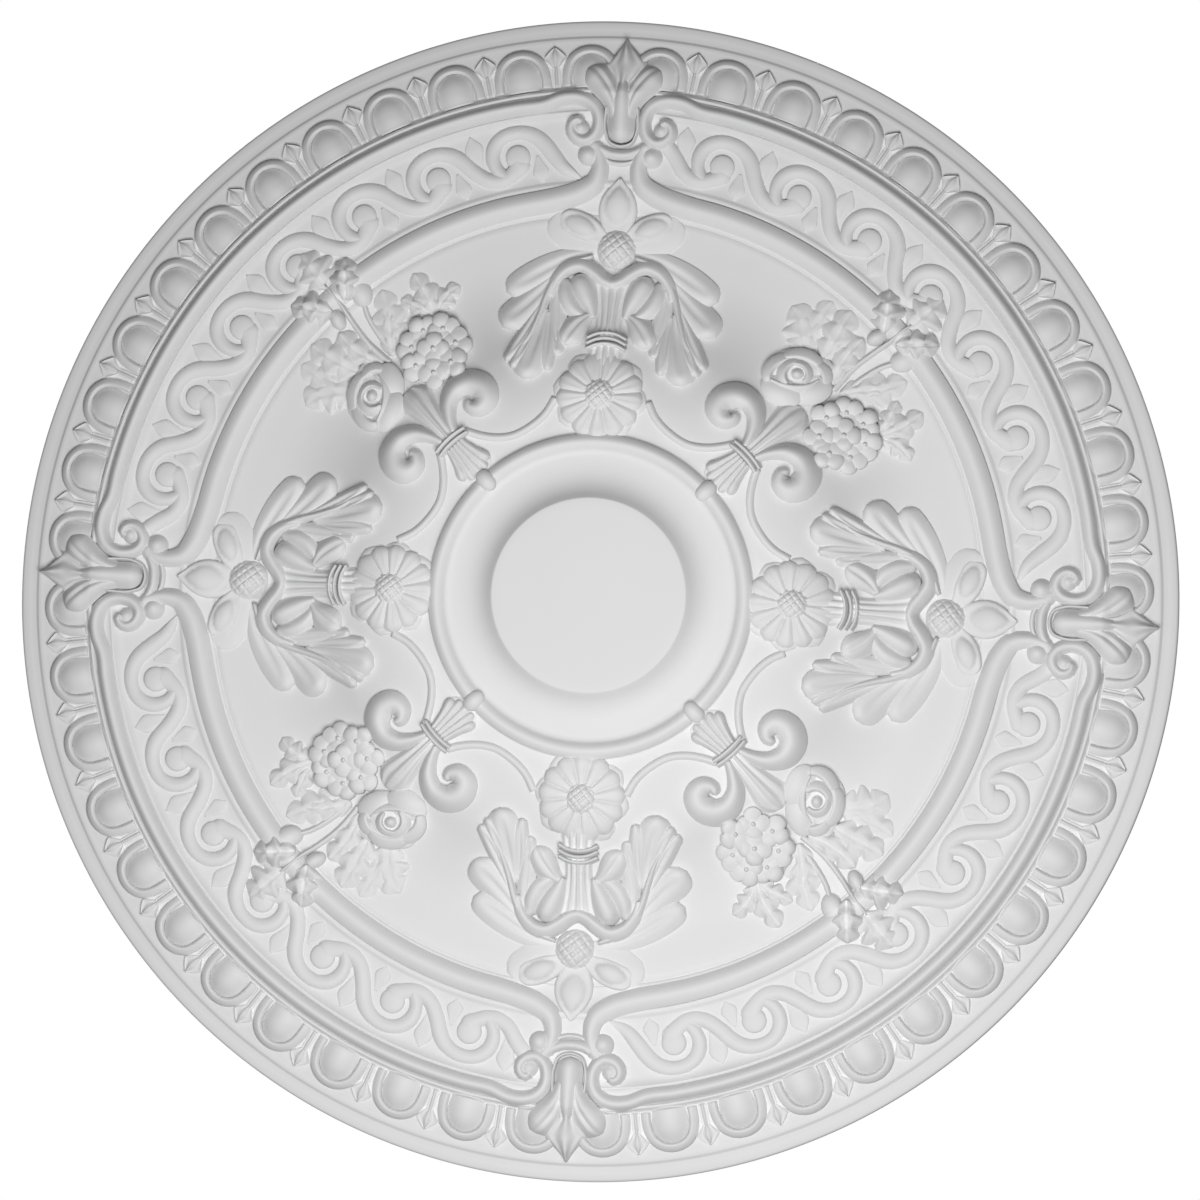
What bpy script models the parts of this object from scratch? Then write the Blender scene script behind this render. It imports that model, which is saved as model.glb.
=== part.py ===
"""Ceiling rose: one round moulding with its relief, held face down by its flat back.

The rose is drawn face up in millimetres, with the middle of its back at the origin, and one
quarter of its relief is repeated four times. A half turn about X hangs it face down, with its
back at z = 0 and its relief below. Everything that reaches Blender is in metres.

A point of a motif is (across, out): millimetres to the right of the motif's own axis, and from
the middle of the rose, looking at the face. Angles run clockwise from +Y in that view.
"""

import math

import bmesh
import bpy
from mathutils import Matrix, Vector

MM = 0.001

# Widths of the rings of the turned body, from the middle outwards
CANOPY_RADIUS = 63.5
COVE_WIDTH = 30.0
BEAD_WIDTH = 12.0
FIELD_WIDTH = 146.5
INNER_SEAT_WIDTH = 20.0
SCROLL_BAND_WIDTH = 47.5
OUTER_SEAT_WIDTH = 13.0
FILLET_WIDTH = 4.0
EGG_BAND_WIDTH = 27.0
MARGIN_WIDTH = 5.7
FLANGE_WIDTH = 10.8

# Thickness at the flange, and the steps and rises of the face from there inwards
FLANGE_THICKNESS = 7.0
MARGIN_STEP = 2.0
EGG_BAND_RISE = 6.0
FILLET_STEP = 5.5
SCROLL_GROUND_STEP = 7.5
FIELD_DROP = 1.5
FIELD_RISE = 38.0
BEAD_PROUD = 9.0
COVE_STEP = 4.0
COVE_RISE = 13.0

# Fineness of the faceted solid
BODY_STEPS = 48
FIELD_STEPS = 4
COVE_STEPS = 2
QUARTERS = 4
KEPT_FACETS = 0.5
CRISP_RINGS = "crisp_rings"

# Egg and dart
EGG_COUNT = 48
FRAME_HALF_WIDTH = 17.6
FRAME_PROUD = 2.5
FRAME_WIDTH = 6.0
EGG_LENGTH = 21.0
EGG_PROUD = 4.5
DART_HALF_WIDTH = 2.8
DART_PROUD = 3.6

# Running scrolls
EYES_PER_QUARTER = 7
EYE_PITCH = 10.6
SCROLL_HALF_WIDTH = 4.8
SCROLL_PROUD = 3.4

# Rings that end in volutes at the four axes
OUTER_RING_HALF_WIDTH = 5.6
OUTER_RING_PROUD = 7.5
INNER_RING_HALF_WIDTH = 7.6
INNER_RING_PROUD = 8.5

# Flowers, knots and straps of the field
BERRY_RADIUS = 13.4
ROSETTE_RADIUS = 30.0
ROSETTE_PETALS = 12
ROSETTE_DOME_RADIUS = 10.4
ROSE_RADIUS = 23.0
CLUSTER_RADIUS = 24.0
FLORET_COUNT = 3
KNOT_HALF_WIDTH = 12.0
STRAP_HALF_WIDTH = 2.8

# How far the relief reaches into what carries it, the slant of a moulded step, and the gap
# between the outer ring and the fillet
EMBED = 4.0
STEP_SLANT = 0.5
SEAT_CLEARANCE = 0.8

PRIMED_WHITE = (0.87, 0.87, 0.86, 1.0)
MATT = 0.62

# Radii of the turned body, each from the one inside it
COVE_OUTER = CANOPY_RADIUS + COVE_WIDTH
BEAD_OUTER = COVE_OUTER + BEAD_WIDTH
FIELD_OUTER = BEAD_OUTER + FIELD_WIDTH
INNER_SEAT_OUTER = FIELD_OUTER + INNER_SEAT_WIDTH
SCROLL_BAND_OUTER = INNER_SEAT_OUTER + SCROLL_BAND_WIDTH
OUTER_SEAT_OUTER = SCROLL_BAND_OUTER + OUTER_SEAT_WIDTH
FILLET_OUTER = OUTER_SEAT_OUTER + FILLET_WIDTH
EGG_BAND_OUTER = FILLET_OUTER + EGG_BAND_WIDTH
MARGIN_OUTER = EGG_BAND_OUTER + MARGIN_WIDTH
OUTER_RADIUS = MARGIN_OUTER + FLANGE_WIDTH

# Heights of the face above the back
MARGIN_HEIGHT = FLANGE_THICKNESS + MARGIN_STEP
EGG_CROWN_HEIGHT = MARGIN_HEIGHT + EGG_BAND_RISE
FILLET_HEIGHT = EGG_CROWN_HEIGHT + FILLET_STEP
SCROLL_GROUND = MARGIN_HEIGHT + SCROLL_GROUND_STEP
FIELD_FOOT = SCROLL_GROUND - FIELD_DROP
FIELD_TOP = FIELD_FOOT + FIELD_RISE
BEAD_CREST = FIELD_TOP + BEAD_PROUD
COVE_FOOT = FIELD_TOP + COVE_STEP
PROJECTION = COVE_FOOT + COVE_RISE

INNER_RING_RADIUS = FIELD_OUTER + INNER_SEAT_WIDTH / 2
OUTER_RING_RADIUS = SCROLL_BAND_OUTER + OUTER_SEAT_WIDTH / 2
SCROLL_EYE_RADIUS = INNER_SEAT_OUTER + SCROLL_BAND_WIDTH * 0.465
KNOT_OUT = BEAD_OUTER + 32.0
ROSETTE_OUT = BEAD_OUTER + 25.5

# Cross-sections of the relief, in shares of a ribbon's half width and of its height
RIDGE = ((-1.0, 0.0), (0.0, 1.0), (1.0, 0.0), (0.0, -1.0))
PLATE = ((-1.0, -1.0), (-0.8, 1.0), (0.8, 1.0), (1.0, -1.0))


def turned_profile(with_rings=True):
    """Points (radius, height) of the face and the back, from the middle of the face outwards."""
    points = [(0.0, PROJECTION), (CANOPY_RADIUS, PROJECTION)]
    for step in range(1, COVE_STEPS + 1):
        share = step / COVE_STEPS
        points.append((CANOPY_RADIUS + COVE_WIDTH * share, COVE_FOOT + COVE_RISE * (1 - share) ** 2.2))
    points += [
        (COVE_OUTER + BEAD_WIDTH * 0.25, BEAD_CREST),
        (COVE_OUTER + BEAD_WIDTH * 0.7, BEAD_CREST),
        (BEAD_OUTER, FIELD_TOP),
    ]
    for step in range(1, FIELD_STEPS + 1):
        share = step / FIELD_STEPS
        swing = share * share * (3 - 2 * share)
        points.append((BEAD_OUTER + FIELD_WIDTH * share, FIELD_TOP - FIELD_RISE * swing))
    if with_rings:
        points += ring_profile(INNER_RING_RADIUS, INNER_RING_HALF_WIDTH, INNER_RING_PROUD)
        points += ring_profile(OUTER_RING_RADIUS, OUTER_RING_HALF_WIDTH, OUTER_RING_PROUD)
    else:
        points += [(INNER_SEAT_OUTER, SCROLL_GROUND), (OUTER_SEAT_OUTER - SEAT_CLEARANCE, SCROLL_GROUND)]
    points += [
        (OUTER_SEAT_OUTER, FILLET_HEIGHT),
        (FILLET_OUTER, FILLET_HEIGHT),
        (FILLET_OUTER + STEP_SLANT, EGG_CROWN_HEIGHT),
        (EGG_BAND_OUTER, MARGIN_HEIGHT),
        (MARGIN_OUTER, MARGIN_HEIGHT),
        (MARGIN_OUTER + STEP_SLANT, FLANGE_THICKNESS),
        (OUTER_RADIUS, FLANGE_THICKNESS),
        (OUTER_RADIUS, 0.0),
        (0.0, 0.0),
    ]
    return points


def ring_profile(radius, half_width, proud):
    """The rounded section of a ring that stands on the ground of the scroll band."""
    crest = SCROLL_GROUND + proud
    return [
        (radius - half_width, SCROLL_GROUND),
        (radius - half_width * 0.5, crest),
        (radius + half_width * 0.5, crest),
        (radius + half_width, SCROLL_GROUND),
    ]


GROUND = turned_profile(with_rings=False)[:-2]


def ground_height(radius):
    """Height of the face at a radius, without its rings, along the straight runs of its profile."""
    for (inner, high), (outer, low) in zip(GROUND, GROUND[1:]):
        if radius <= outer:
            return high + (low - high) * (radius - inner) / max(outer - inner, 1e-6)
    return GROUND[-1][1]


def make_material():
    """Factory-primed white of the moulded foam."""
    material = bpy.data.materials.new("primed_white")
    material.use_nodes = True
    shader = material.node_tree.nodes["Principled BSDF"]
    shader.inputs["Base Color"].default_value = PRIMED_WHITE
    shader.inputs["Roughness"].default_value = MATT
    shader.inputs["Metallic"].default_value = 0.0
    return material


def make_object(name, bm, collection, carrier, guide=True):
    """A mesh object from a bmesh in millimetres, carried by the empty that turns the face down."""
    bmesh.ops.scale(bm, vec=(MM, MM, MM), verts=bm.verts)
    mesh = bpy.data.meshes.new(name)
    bm.to_mesh(mesh)
    bm.free()
    mesh.materials.append(bpy.data.materials["primed_white"])
    thing = bpy.data.objects.new(name, mesh)
    thing.parent = carrier
    thing.hide_render = guide
    if guide:
        thing.display_type = "WIRE"
    collection.objects.link(thing)
    return thing


def section_curve(outline, height):
    """A closed outline that a ribbon carries along its path, one unit wide for each radius."""
    curve = bpy.data.curves.new("section", "CURVE")
    curve.dimensions = "2D"
    spline = curve.splines.new("POLY")
    spline.points.add(len(outline) - 1)
    for point, (side, up) in zip(spline.points, outline):
        point.co = (side, up * height, 0, 1)
    spline.use_cyclic_u = True
    guide = bpy.data.objects.new("section", curve)
    bpy.context.scene.collection.objects.link(guide)
    return guide


def ribbon(path, outline=RIDGE, height=1.0):
    """A closed ribbon along (across, out, lift, half width) points, as a bmesh in millimetres.

    Lift is the height of the middle of the section above the turned face below it, and height is
    the share of the half width by which the section stands up.
    """
    section = section_curve(outline, height)
    curve = bpy.data.curves.new("ribbon", "CURVE")
    curve.dimensions = "3D"
    curve.twist_mode = "Z_UP"
    curve.bevel_mode = "OBJECT"
    curve.bevel_object = section
    curve.use_fill_caps = True
    spline = curve.splines.new("POLY")
    spline.points.add(len(path) - 1)
    for point, (across, out, lift, half_width) in zip(spline.points, path):
        point.co = (across, out, ground_height(math.hypot(across, out)) + lift, 1)
        point.radius = half_width
    guide = bpy.data.objects.new("ribbon", curve)
    bpy.context.scene.collection.objects.link(guide)
    bpy.context.view_layer.update()
    evaluated = guide.evaluated_get(bpy.context.evaluated_depsgraph_get())
    mesh = bpy.data.meshes.new_from_object(evaluated)
    bm = bmesh.new()
    bm.from_mesh(mesh)
    bmesh.ops.remove_doubles(bm, verts=bm.verts, dist=0.001)
    bmesh.ops.recalc_face_normals(bm, faces=bm.faces)
    for spent in (guide, section):
        bpy.data.objects.remove(spent)
    bpy.data.meshes.remove(mesh)
    return bm


def dome(across, out, half_sizes, lift=0.0, segments=8, slope=0.0):
    """An ellipsoid with its middle on the face, as a bmesh; half_sizes are across, out and up."""
    bm = bmesh.new()
    bmesh.ops.create_uvsphere(bm, u_segments=segments, v_segments=4, radius=1.0)
    height = ground_height(math.hypot(across, out)) + lift
    tilt = Matrix.Rotation(slope, 4, "X")
    place = Matrix.Translation((across, out, height)) @ tilt @ Matrix.Diagonal((*half_sizes, 1.0))
    bmesh.ops.transform(bm, matrix=place, verts=bm.verts)
    return bm


def mirrored(path):
    """The same path on the other side of the motif's axis."""
    return [(-across, *rest) for across, *rest in path]


def wrapped(path, angle):
    """A path drawn along a band, turned about the middle to an angle of the motif's own frame."""
    turned = []
    for across, out, *rest in path:
        bearing = math.radians(angle) + across / SCROLL_EYE_RADIUS
        turned.append((out * math.sin(bearing), out * math.cos(bearing), *rest))
    return turned


class Relief:
    """Carved pieces of the relief, each kind gathered in one mesh and joined to the body later."""

    def __init__(self, collection, carrier):
        self.collection = collection
        self.carrier = carrier

    def add(self, name, pieces, angles):
        """Copies of some pieces at each angle about the middle, as one guide object."""
        gathered = bmesh.new()
        for piece in pieces:
            for angle in angles:
                copy = piece.copy()
                turn = Matrix.Rotation(-math.radians(angle), 4, "Z")
                bmesh.ops.transform(copy, matrix=turn, verts=copy.verts)
                mesh = bpy.data.meshes.new("copy")
                copy.to_mesh(mesh)
                copy.free()
                gathered.from_mesh(mesh)
                bpy.data.meshes.remove(mesh)
            piece.free()
        return make_object(name, gathered, self.collection, self.carrier)


QUARTER_ANGLES = [index * 360 / QUARTERS for index in range(QUARTERS)]
DIAGONAL_ANGLES = [angle + 180 / QUARTERS for angle in QUARTER_ANGLES]


def turned_body(collection, carrier):
    """The rings of the rose, as a profile turned about the Z axis."""
    mesh = bpy.data.meshes.new("ceiling_rose")
    profile = [(radius * MM, 0.0, height * MM) for radius, height in turned_profile()]
    edges = [(index, index + 1) for index in range(len(profile) - 1)]
    mesh.from_pydata(profile, edges, [])
    mesh.materials.append(bpy.data.materials["primed_white"])
    body = bpy.data.objects.new("ceiling_rose", mesh)
    body.parent = carrier
    collection.objects.link(body)
    edges_to_keep = body.vertex_groups.new(name=CRISP_RINGS)
    radii = [radius for radius, _ in turned_profile()]
    crisp = [index for index, radius in enumerate(radii) if not BEAD_OUTER < radius < EGG_BAND_OUTER]
    edges_to_keep.add(crisp, 1.0, "REPLACE")
    screw = body.modifiers.new("turn", "SCREW")
    screw.steps = BODY_STEPS
    screw.render_steps = BODY_STEPS
    screw.use_merge_vertices = True
    screw.merge_threshold = 0.00001
    screw.use_normal_calculate = False
    return body


def arch(half_width, foot, crown, height):
    """Points of an arch with slightly leaning sides and a rounded head, from foot to foot."""
    rise = crown - foot
    right = [(half_width, foot), (half_width * 0.95, foot + rise * 0.6), (half_width * 0.5, foot + rise * 0.95)]
    left = [(-across, out) for across, out in reversed(right)]
    return [(across, out, height) for across, out in right + left]


def framed_egg():
    """An egg in its frame, skinned over arches one inside the other, and cut off at the foot."""
    foot = FILLET_OUTER + STEP_SLANT + SEAT_CLEARANCE
    crown = EGG_BAND_OUTER
    arches = [
        arch(FRAME_HALF_WIDTH + 0.4, foot, crown, -EMBED),
        arch(FRAME_HALF_WIDTH - FRAME_WIDTH * 0.3, foot, crown - FRAME_WIDTH * 0.3, FRAME_PROUD),
        arch(FRAME_HALF_WIDTH - FRAME_WIDTH, foot, crown - FRAME_WIDTH, 0.6),
    ]
    slope = -math.atan2(EGG_BAND_RISE, EGG_BAND_WIDTH)
    tilt = Matrix.Translation((0, FILLET_OUTER, EGG_CROWN_HEIGHT)) @ Matrix.Rotation(slope, 4, "X")
    place = tilt @ Matrix.Translation((0, -FILLET_OUTER, 0))
    bm = bmesh.new()
    loops = [[bm.verts.new(place @ Vector(point)) for point in points] for points in arches]
    crest = bm.verts.new(place @ Vector((0, foot + EGG_LENGTH * 0.4, EGG_PROUD)))
    crest_foot = bm.verts.new(place @ Vector((0, foot, EGG_PROUD * 0.9)))
    bm.faces.new(loops[0])
    for lower, upper in zip(loops, loops[1:]):
        for index in range(len(lower) - 1):
            bm.faces.new((lower[index], lower[index + 1], upper[index + 1], upper[index]))
    inner = loops[-1]
    for index in range(len(inner) - 1):
        bm.faces.new((inner[index], inner[index + 1], crest))
    bm.faces.new((inner[-1], crest_foot, crest))
    bm.faces.new((crest_foot, inner[0], crest))
    ends = [loop[-1] for loop in loops] + [crest_foot] + [loop[0] for loop in reversed(loops)]
    bm.faces.new(ends)
    bmesh.ops.recalc_face_normals(bm, faces=bm.faces)
    return bm


def egg_and_dart(relief):
    """Framed eggs with darts between them, all cut off by the fillet at their foot."""
    foot = FILLET_OUTER + STEP_SLANT + SEAT_CLEARANCE
    dart_path = [(0, foot, -0.3, DART_HALF_WIDTH), (0, EGG_BAND_OUTER - 1.0, -0.3, DART_HALF_WIDTH * 0.5)]
    dart = ribbon(dart_path, height=DART_PROUD / DART_HALF_WIDTH)
    pitch = 360 / EGG_COUNT
    egg_angles = [pitch * (index + 0.5) for index in range(EGG_COUNT)]
    dart_angles = [pitch * index for index in range(EGG_COUNT) if index % (EGG_COUNT // QUARTERS)]
    relief.add("eggs", [framed_egg()], egg_angles)
    relief.add("darts", [dart], dart_angles)


def running_scrolls(relief):
    """Linked scrolls: each ribbon rises round one eye and curls into the next one."""
    out = SCROLL_EYE_RADIUS
    full = SCROLL_HALF_WIDTH
    next_eye = math.radians(EYE_PITCH) * SCROLL_EYE_RADIUS
    rise = [
        (-13.0, out - 9.7, 0, 0.8),
        (-17.5, out + 1.0, 0, full),
        (-7.0, out + 15.5, 0, full * 0.9),
        (9.0, out + 15.5, 0, full * 0.9),
        (20.0, out + 5.0, 0, full),
    ]
    curl = [
        (next_eye - 20.5, out - 12.0, 0, full),
        (next_eye - 4.5, out - 12.8, 0, full * 0.95),
        (next_eye + 4.0, out - 3.0, 0, full),
        (next_eye - 2.0, out + 3.5, 0, full),
    ]
    fade = [(next_eye - 24.0, out - 10.5, 0, full * 0.8), (next_eye - 14.5, out - 17.0, 0, 0.8)]
    entry = [(next_eye - 41.0, out + 9.0, 0, full * 0.8)]
    height = SCROLL_PROUD / SCROLL_HALF_WIDTH
    first = 45 - EYE_PITCH * (EYES_PER_QUARTER - 1) / 2
    for parity in (0, 1):
        pieces = []
        for index in range(EYES_PER_QUARTER + 1):
            if index % 2 != parity:
                continue
            if index == 0:
                path = entry + curl
            elif index == EYES_PER_QUARTER:
                path = rise + fade
            else:
                path = rise + curl
            angle = first + EYE_PITCH * (index - 1)
            pieces.append(ribbon(wrapped(path, angle), RIDGE, height))
        relief.add(f"scroll_ribbons_{parity + 1}", pieces, QUARTER_ANGLES)


def volutes(relief):
    """The curled ends of the outer and the inner ring, on both sides of each axis."""
    out = OUTER_RING_RADIUS
    outer = [
        (29.5, out - 15.0, 0.5, 4.6),
        (27.0, out - 25.0, 0.5, 4.8),
        (17.0, out - 22.0, 0.5, 4.4),
        (16.0, out - 6.0, 0.2, 4.4),
        (27.0, out + 1.5, 0.1, 5.0),
        (45.0, out - 3.0, -0.3, OUTER_RING_HALF_WIDTH),
    ]
    out = INNER_RING_RADIUS
    inner = [
        (22.5, out + 28.0, 0, 6.4),
        (14.5, out + 32.5, 0, 4.2),
        (13.0, out + 15.0, 0, 4.0),
        (24.0, out + 2.5, 0, 5.6),
        (44.0, out - 3.8, -0.3, INNER_RING_HALF_WIDTH),
    ]
    outer_height = OUTER_RING_PROUD / OUTER_RING_HALF_WIDTH
    inner_height = INNER_RING_PROUD / INNER_RING_HALF_WIDTH
    outers = [ribbon(outer, height=outer_height), ribbon(mirrored(outer), height=outer_height)]
    inners = [ribbon(inner, height=inner_height), ribbon(mirrored(inner), height=inner_height)]
    relief.add("outer_volutes", outers, QUARTER_ANGLES)
    relief.add("inner_volutes", inners, QUARTER_ANGLES)


def both_sides(path, height):
    """A ribbon and its mirror image on the other side of the motif's axis."""
    return [ribbon(path, height=height), ribbon(mirrored(path), height=height)]


def fleur(relief):
    """The three-leaved fleur between the volutes, over a crescent."""
    foot = OUTER_RING_RADIUS - 27.0
    leaf = [
        (0, foot, 1, 3),
        (0, foot + 11, 3, 8.2),
        (0, foot + 30, 7, 4.5),
        (0, foot + 52, 4, 12.8),
        (0, foot + 67.0, 0.5, 1),
    ]
    petal = [(4, foot + 22, 6, 4.5), (13, foot + 38, 5, 7.5), (25, foot + 45, 2, 4)]
    crescent = [
        (-14, foot + 2.5, 0, 1.2),
        (-6, foot - 5.5, 0, 3.6),
        (6, foot - 5.5, 0, 3.6),
        (14, foot + 2.5, 0, 1.2),
    ]
    relief.add("fleur_leaves", [ribbon(leaf, height=0.6)], QUARTER_ANGLES)
    relief.add("fleur_petals", both_sides(petal, 0.6), QUARTER_ANGLES)
    relief.add("crescents", [ribbon(crescent, height=1.2)], QUARTER_ANGLES)


def axis_drop(relief):
    """Bud flower, berry, fluted calyx with its collar, acanthus leaves and rosette of each axis."""
    berry_out = FIELD_OUTER - 22.8
    bud = [(0, berry_out + 4, 4, 9), (0, berry_out + 24, 5, 12.4), (0, berry_out + 45, 6, 1)]
    side = [(5, berry_out + 3, 3, 5), (22, berry_out + 13, 3, 9), (39, berry_out + 21, 0, 1.5)]
    relief.add("bud_leaves", [ribbon(bud, height=0.45)], QUARTER_ANGLES)
    relief.add("bud_sides", both_sides(side, 0.5), QUARTER_ANGLES)
    berry = dome(0, berry_out, (BERRY_RADIUS, BERRY_RADIUS, 9.0), 2.0)
    relief.add("berries", [berry], QUARTER_ANGLES)

    collar_out = berry_out - 62.0
    calyx = [(0, collar_out, 1, 9), (0, collar_out + 44, 0, 16)]
    lip = [
        (2, collar_out + 36, 1, 5),
        (17, collar_out + 44, 2, 7.5),
        (22, collar_out + 30, 2, 5),
        (12, collar_out + 13, 1, 2),
    ]
    collar = [(-13, collar_out, 0, 6), (13, collar_out, 0, 6)]
    relief.add("calyxes", [ribbon(calyx, height=0.55)], QUARTER_ANGLES)
    relief.add("calyx_lips", both_sides(lip, 0.9), QUARTER_ANGLES)
    relief.add("collars", [ribbon(collar, PLATE, 1.3)], QUARTER_ANGLES)

    rib = [
        (17, berry_out - 4, 1, 4.5),
        (40, berry_out - 22, 1, 10),
        (59, berry_out - 50, 1, 13),
        (61, berry_out - 88, 0, 3),
    ]
    outer_lobe = [(40, berry_out - 20, 1, 4), (60, berry_out - 26, 1, 8), (75, berry_out - 36, 0, 1.5)]
    inner_lobe = [(36, berry_out - 24, 1, 5), (44, berry_out - 56, 1, 8.5), (35, berry_out - 83, 0, 2)]
    relief.add("acanthus_ribs", both_sides(rib, 0.5), QUARTER_ANGLES)
    relief.add("acanthus_outer_lobes", both_sides(outer_lobe, 0.5), QUARTER_ANGLES)
    relief.add("acanthus_inner_lobes", both_sides(inner_lobe, 0.5), QUARTER_ANGLES)

    petals = []
    level = ground_height(ROSETTE_OUT)
    for index in range(ROSETTE_PETALS):
        bearing = math.radians(360 * (index + 0.5) / ROSETTE_PETALS)
        path = []
        for share, half_width in ((0.28, 2.6), (0.85, 6.6), (1.0, 3.0)):
            across = ROSETTE_RADIUS * share * math.sin(bearing)
            out = ROSETTE_OUT + ROSETTE_RADIUS * share * math.cos(bearing)
            lift = level - ground_height(math.hypot(across, out)) + 3.0
            path.append((across, out, lift, half_width))
        petals.append(ribbon(path, height=0.7))
    relief.add("rosette_petals_1", petals[0::2], QUARTER_ANGLES)
    relief.add("rosette_petals_2", petals[1::2], QUARTER_ANGLES)
    boss = dome(0, ROSETTE_OUT, (ROSETTE_DOME_RADIUS, ROSETTE_DOME_RADIUS, 6.0), 6.0)
    relief.add("rosette_domes", [boss], QUARTER_ANGLES)


def diagonal_spray(relief):
    """Knot with two hooks, sheath, rose, floret cluster, leaves, palmette and straps."""
    out = KNOT_OUT
    knot = [(-KNOT_HALF_WIDTH, out, 1, 6.0), (KNOT_HALF_WIDTH, out, 1, 6.0)]
    relief.add("knots", [ribbon(knot, PLATE, 1.5)], DIAGONAL_ANGLES)
    hook = [
        (8, out + 3, 1, 4.5),
        (19, out + 23, 1, 6.5),
        (36, out + 25, 1, 7),
        (43, out + 8, 1, 6.8),
        (29, out + 2, 0.5, 4.5),
    ]
    relief.add("hooks", both_sides(hook, 0.9), DIAGONAL_ANGLES)
    sheath = [(0, out + 2, 2, 6), (0, out + 38, 5, 11.5), (0, out + 50, 5, 2)]
    relief.add("sheaths", [ribbon(sheath, height=0.8)], DIAGONAL_ANGLES)

    rose_middle = (-21.0, out + 61.5)
    cluster_middle = (30.0, out + 53.5)
    rose = dome(*rose_middle, (ROSE_RADIUS, ROSE_RADIUS, 11.0), 2.0)
    bud = dome(*rose_middle, (9.5, 9.5, 6.0), 9.5, 6)
    cluster = dome(*cluster_middle, (CLUSTER_RADIUS, CLUSTER_RADIUS, 11.0), 2.0)
    relief.add("roses", [rose], DIAGONAL_ANGLES)
    relief.add("rose_buds", [bud], DIAGONAL_ANGLES)
    relief.add("clusters", [cluster], DIAGONAL_ANGLES)
    florets = []
    for index in range(FLORET_COUNT):
        bearing = math.radians(360 * index / FLORET_COUNT + 20)
        across = cluster_middle[0] + CLUSTER_RADIUS * 0.58 * math.sin(bearing)
        far = cluster_middle[1] + CLUSTER_RADIUS * 0.58 * math.cos(bearing)
        lift = ground_height(math.hypot(*cluster_middle)) - ground_height(math.hypot(across, far)) + 8.0
        florets.append(dome(across, far, (10.0, 10.0, 6.0), lift, 6))
    relief.add("florets", florets, DIAGONAL_ANGLES)

    leaves = [
        [(-20, out + 78, 2, 5), (-28, out + 96, 2, 9), (-28, out + 112, 0, 2)],
        [(-28, out + 72, 1, 4), (-41, out + 84, 1, 8), (-54, out + 85, 0, 1.5)],
        [(36, out + 74, 1, 4), (46, out + 86, 1, 8), (50, out + 102, 0, 1.5)],
        [(2, out + 74, 3, 4), (-2, out + 104, 4, 7.5), (-10, out + 134, 4, 1.5)],
        [(10, out + 74, 3, 4), (17, out + 108, 4, 7.5), (23, out + 132, 5, 1.5)],
    ]
    for index, path in enumerate(leaves):
        relief.add(f"spray_leaves_{index + 1}", [ribbon(path, height=0.6)], DIAGONAL_ANGLES)

    fan = [(0, out - 3, 1, 7), (0, out - 26, 5, 12.5), (0, out - 38, 1, 2)]
    relief.add("palmettes", [ribbon(fan, height=0.55)], DIAGONAL_ANGLES)
    strap = [
        (11, out - 2, 1, STRAP_HALF_WIDTH),
        (20, out - 17, 1, STRAP_HALF_WIDTH),
        (38, out - 30.5, 1, STRAP_HALF_WIDTH),
        (80, out - 43, 1, STRAP_HALF_WIDTH),
    ]
    relief.add("straps", both_sides(strap, 1.2), DIAGONAL_ANGLES)


def main():
    """Turn the body, carve the relief and join the two into one solid."""
    for leftover in list(bpy.data.objects):
        bpy.data.objects.remove(leftover)
    make_material()
    scene_collection = bpy.context.scene.collection
    collection = bpy.data.collections.new("ceiling_rose")
    carving = bpy.data.collections.new("relief")
    scene_collection.children.link(collection)
    scene_collection.children.link(carving)

    carrier = bpy.data.objects.new("face_down", None)
    carrier.rotation_euler.x = math.pi
    collection.objects.link(carrier)

    body = turned_body(collection, carrier)
    relief = Relief(carving, carrier)
    egg_and_dart(relief)
    running_scrolls(relief)
    volutes(relief)
    fleur(relief)
    axis_drop(relief)
    diagonal_spray(relief)

    join = body.modifiers.new("join_relief", "BOOLEAN")
    join.operation = "UNION"
    join.operand_type = "COLLECTION"
    join.collection = carving
    join.solver = "EXACT"

    thin = body.modifiers.new("merge_small_facets", "DECIMATE")
    thin.ratio = KEPT_FACETS
    thin.vertex_group = CRISP_RINGS
    thin.invert_vertex_group = True


main()
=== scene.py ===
"""Ceiling rose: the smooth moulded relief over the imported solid, its finish, the light and the camera.

Every shape is drawn face up in millimetres, with the middle of the back at the origin, and a
motif is drawn in its own frame: across to the right of its axis, and out from the middle of the
rose. Angles run clockwise from +Y, looking at the face. A half turn about X hangs the rose face
down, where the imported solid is.
"""
import logging
import math
from collections.abc import Callable, Iterable, Sequence
from dataclasses import dataclass, field
from enum import Enum

import bpy
import numpy as np
from mathutils import Matrix


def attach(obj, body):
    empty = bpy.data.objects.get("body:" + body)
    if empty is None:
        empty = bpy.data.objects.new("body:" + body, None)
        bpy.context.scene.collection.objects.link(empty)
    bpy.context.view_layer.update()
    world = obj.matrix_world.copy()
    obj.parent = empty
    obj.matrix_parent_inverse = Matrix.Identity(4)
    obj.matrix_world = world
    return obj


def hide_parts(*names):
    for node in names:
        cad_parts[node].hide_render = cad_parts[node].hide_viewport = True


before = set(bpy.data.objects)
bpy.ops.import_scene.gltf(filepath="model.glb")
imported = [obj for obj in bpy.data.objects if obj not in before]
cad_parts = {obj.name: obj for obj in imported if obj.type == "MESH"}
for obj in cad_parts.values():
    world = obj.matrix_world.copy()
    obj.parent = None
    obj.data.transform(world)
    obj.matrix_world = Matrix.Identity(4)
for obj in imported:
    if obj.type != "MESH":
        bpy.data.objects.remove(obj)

MM = 0.001
NODE = "ceiling_rose"
QUARTERS = 4
SINK = 1.5

Points = np.ndarray
Rows = Sequence[Sequence[float]]
Section = Callable[[Points, Points], Points]
Texture = Callable[[Points, Points], Points]

log = logging.getLogger("ceiling_rose")


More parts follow.
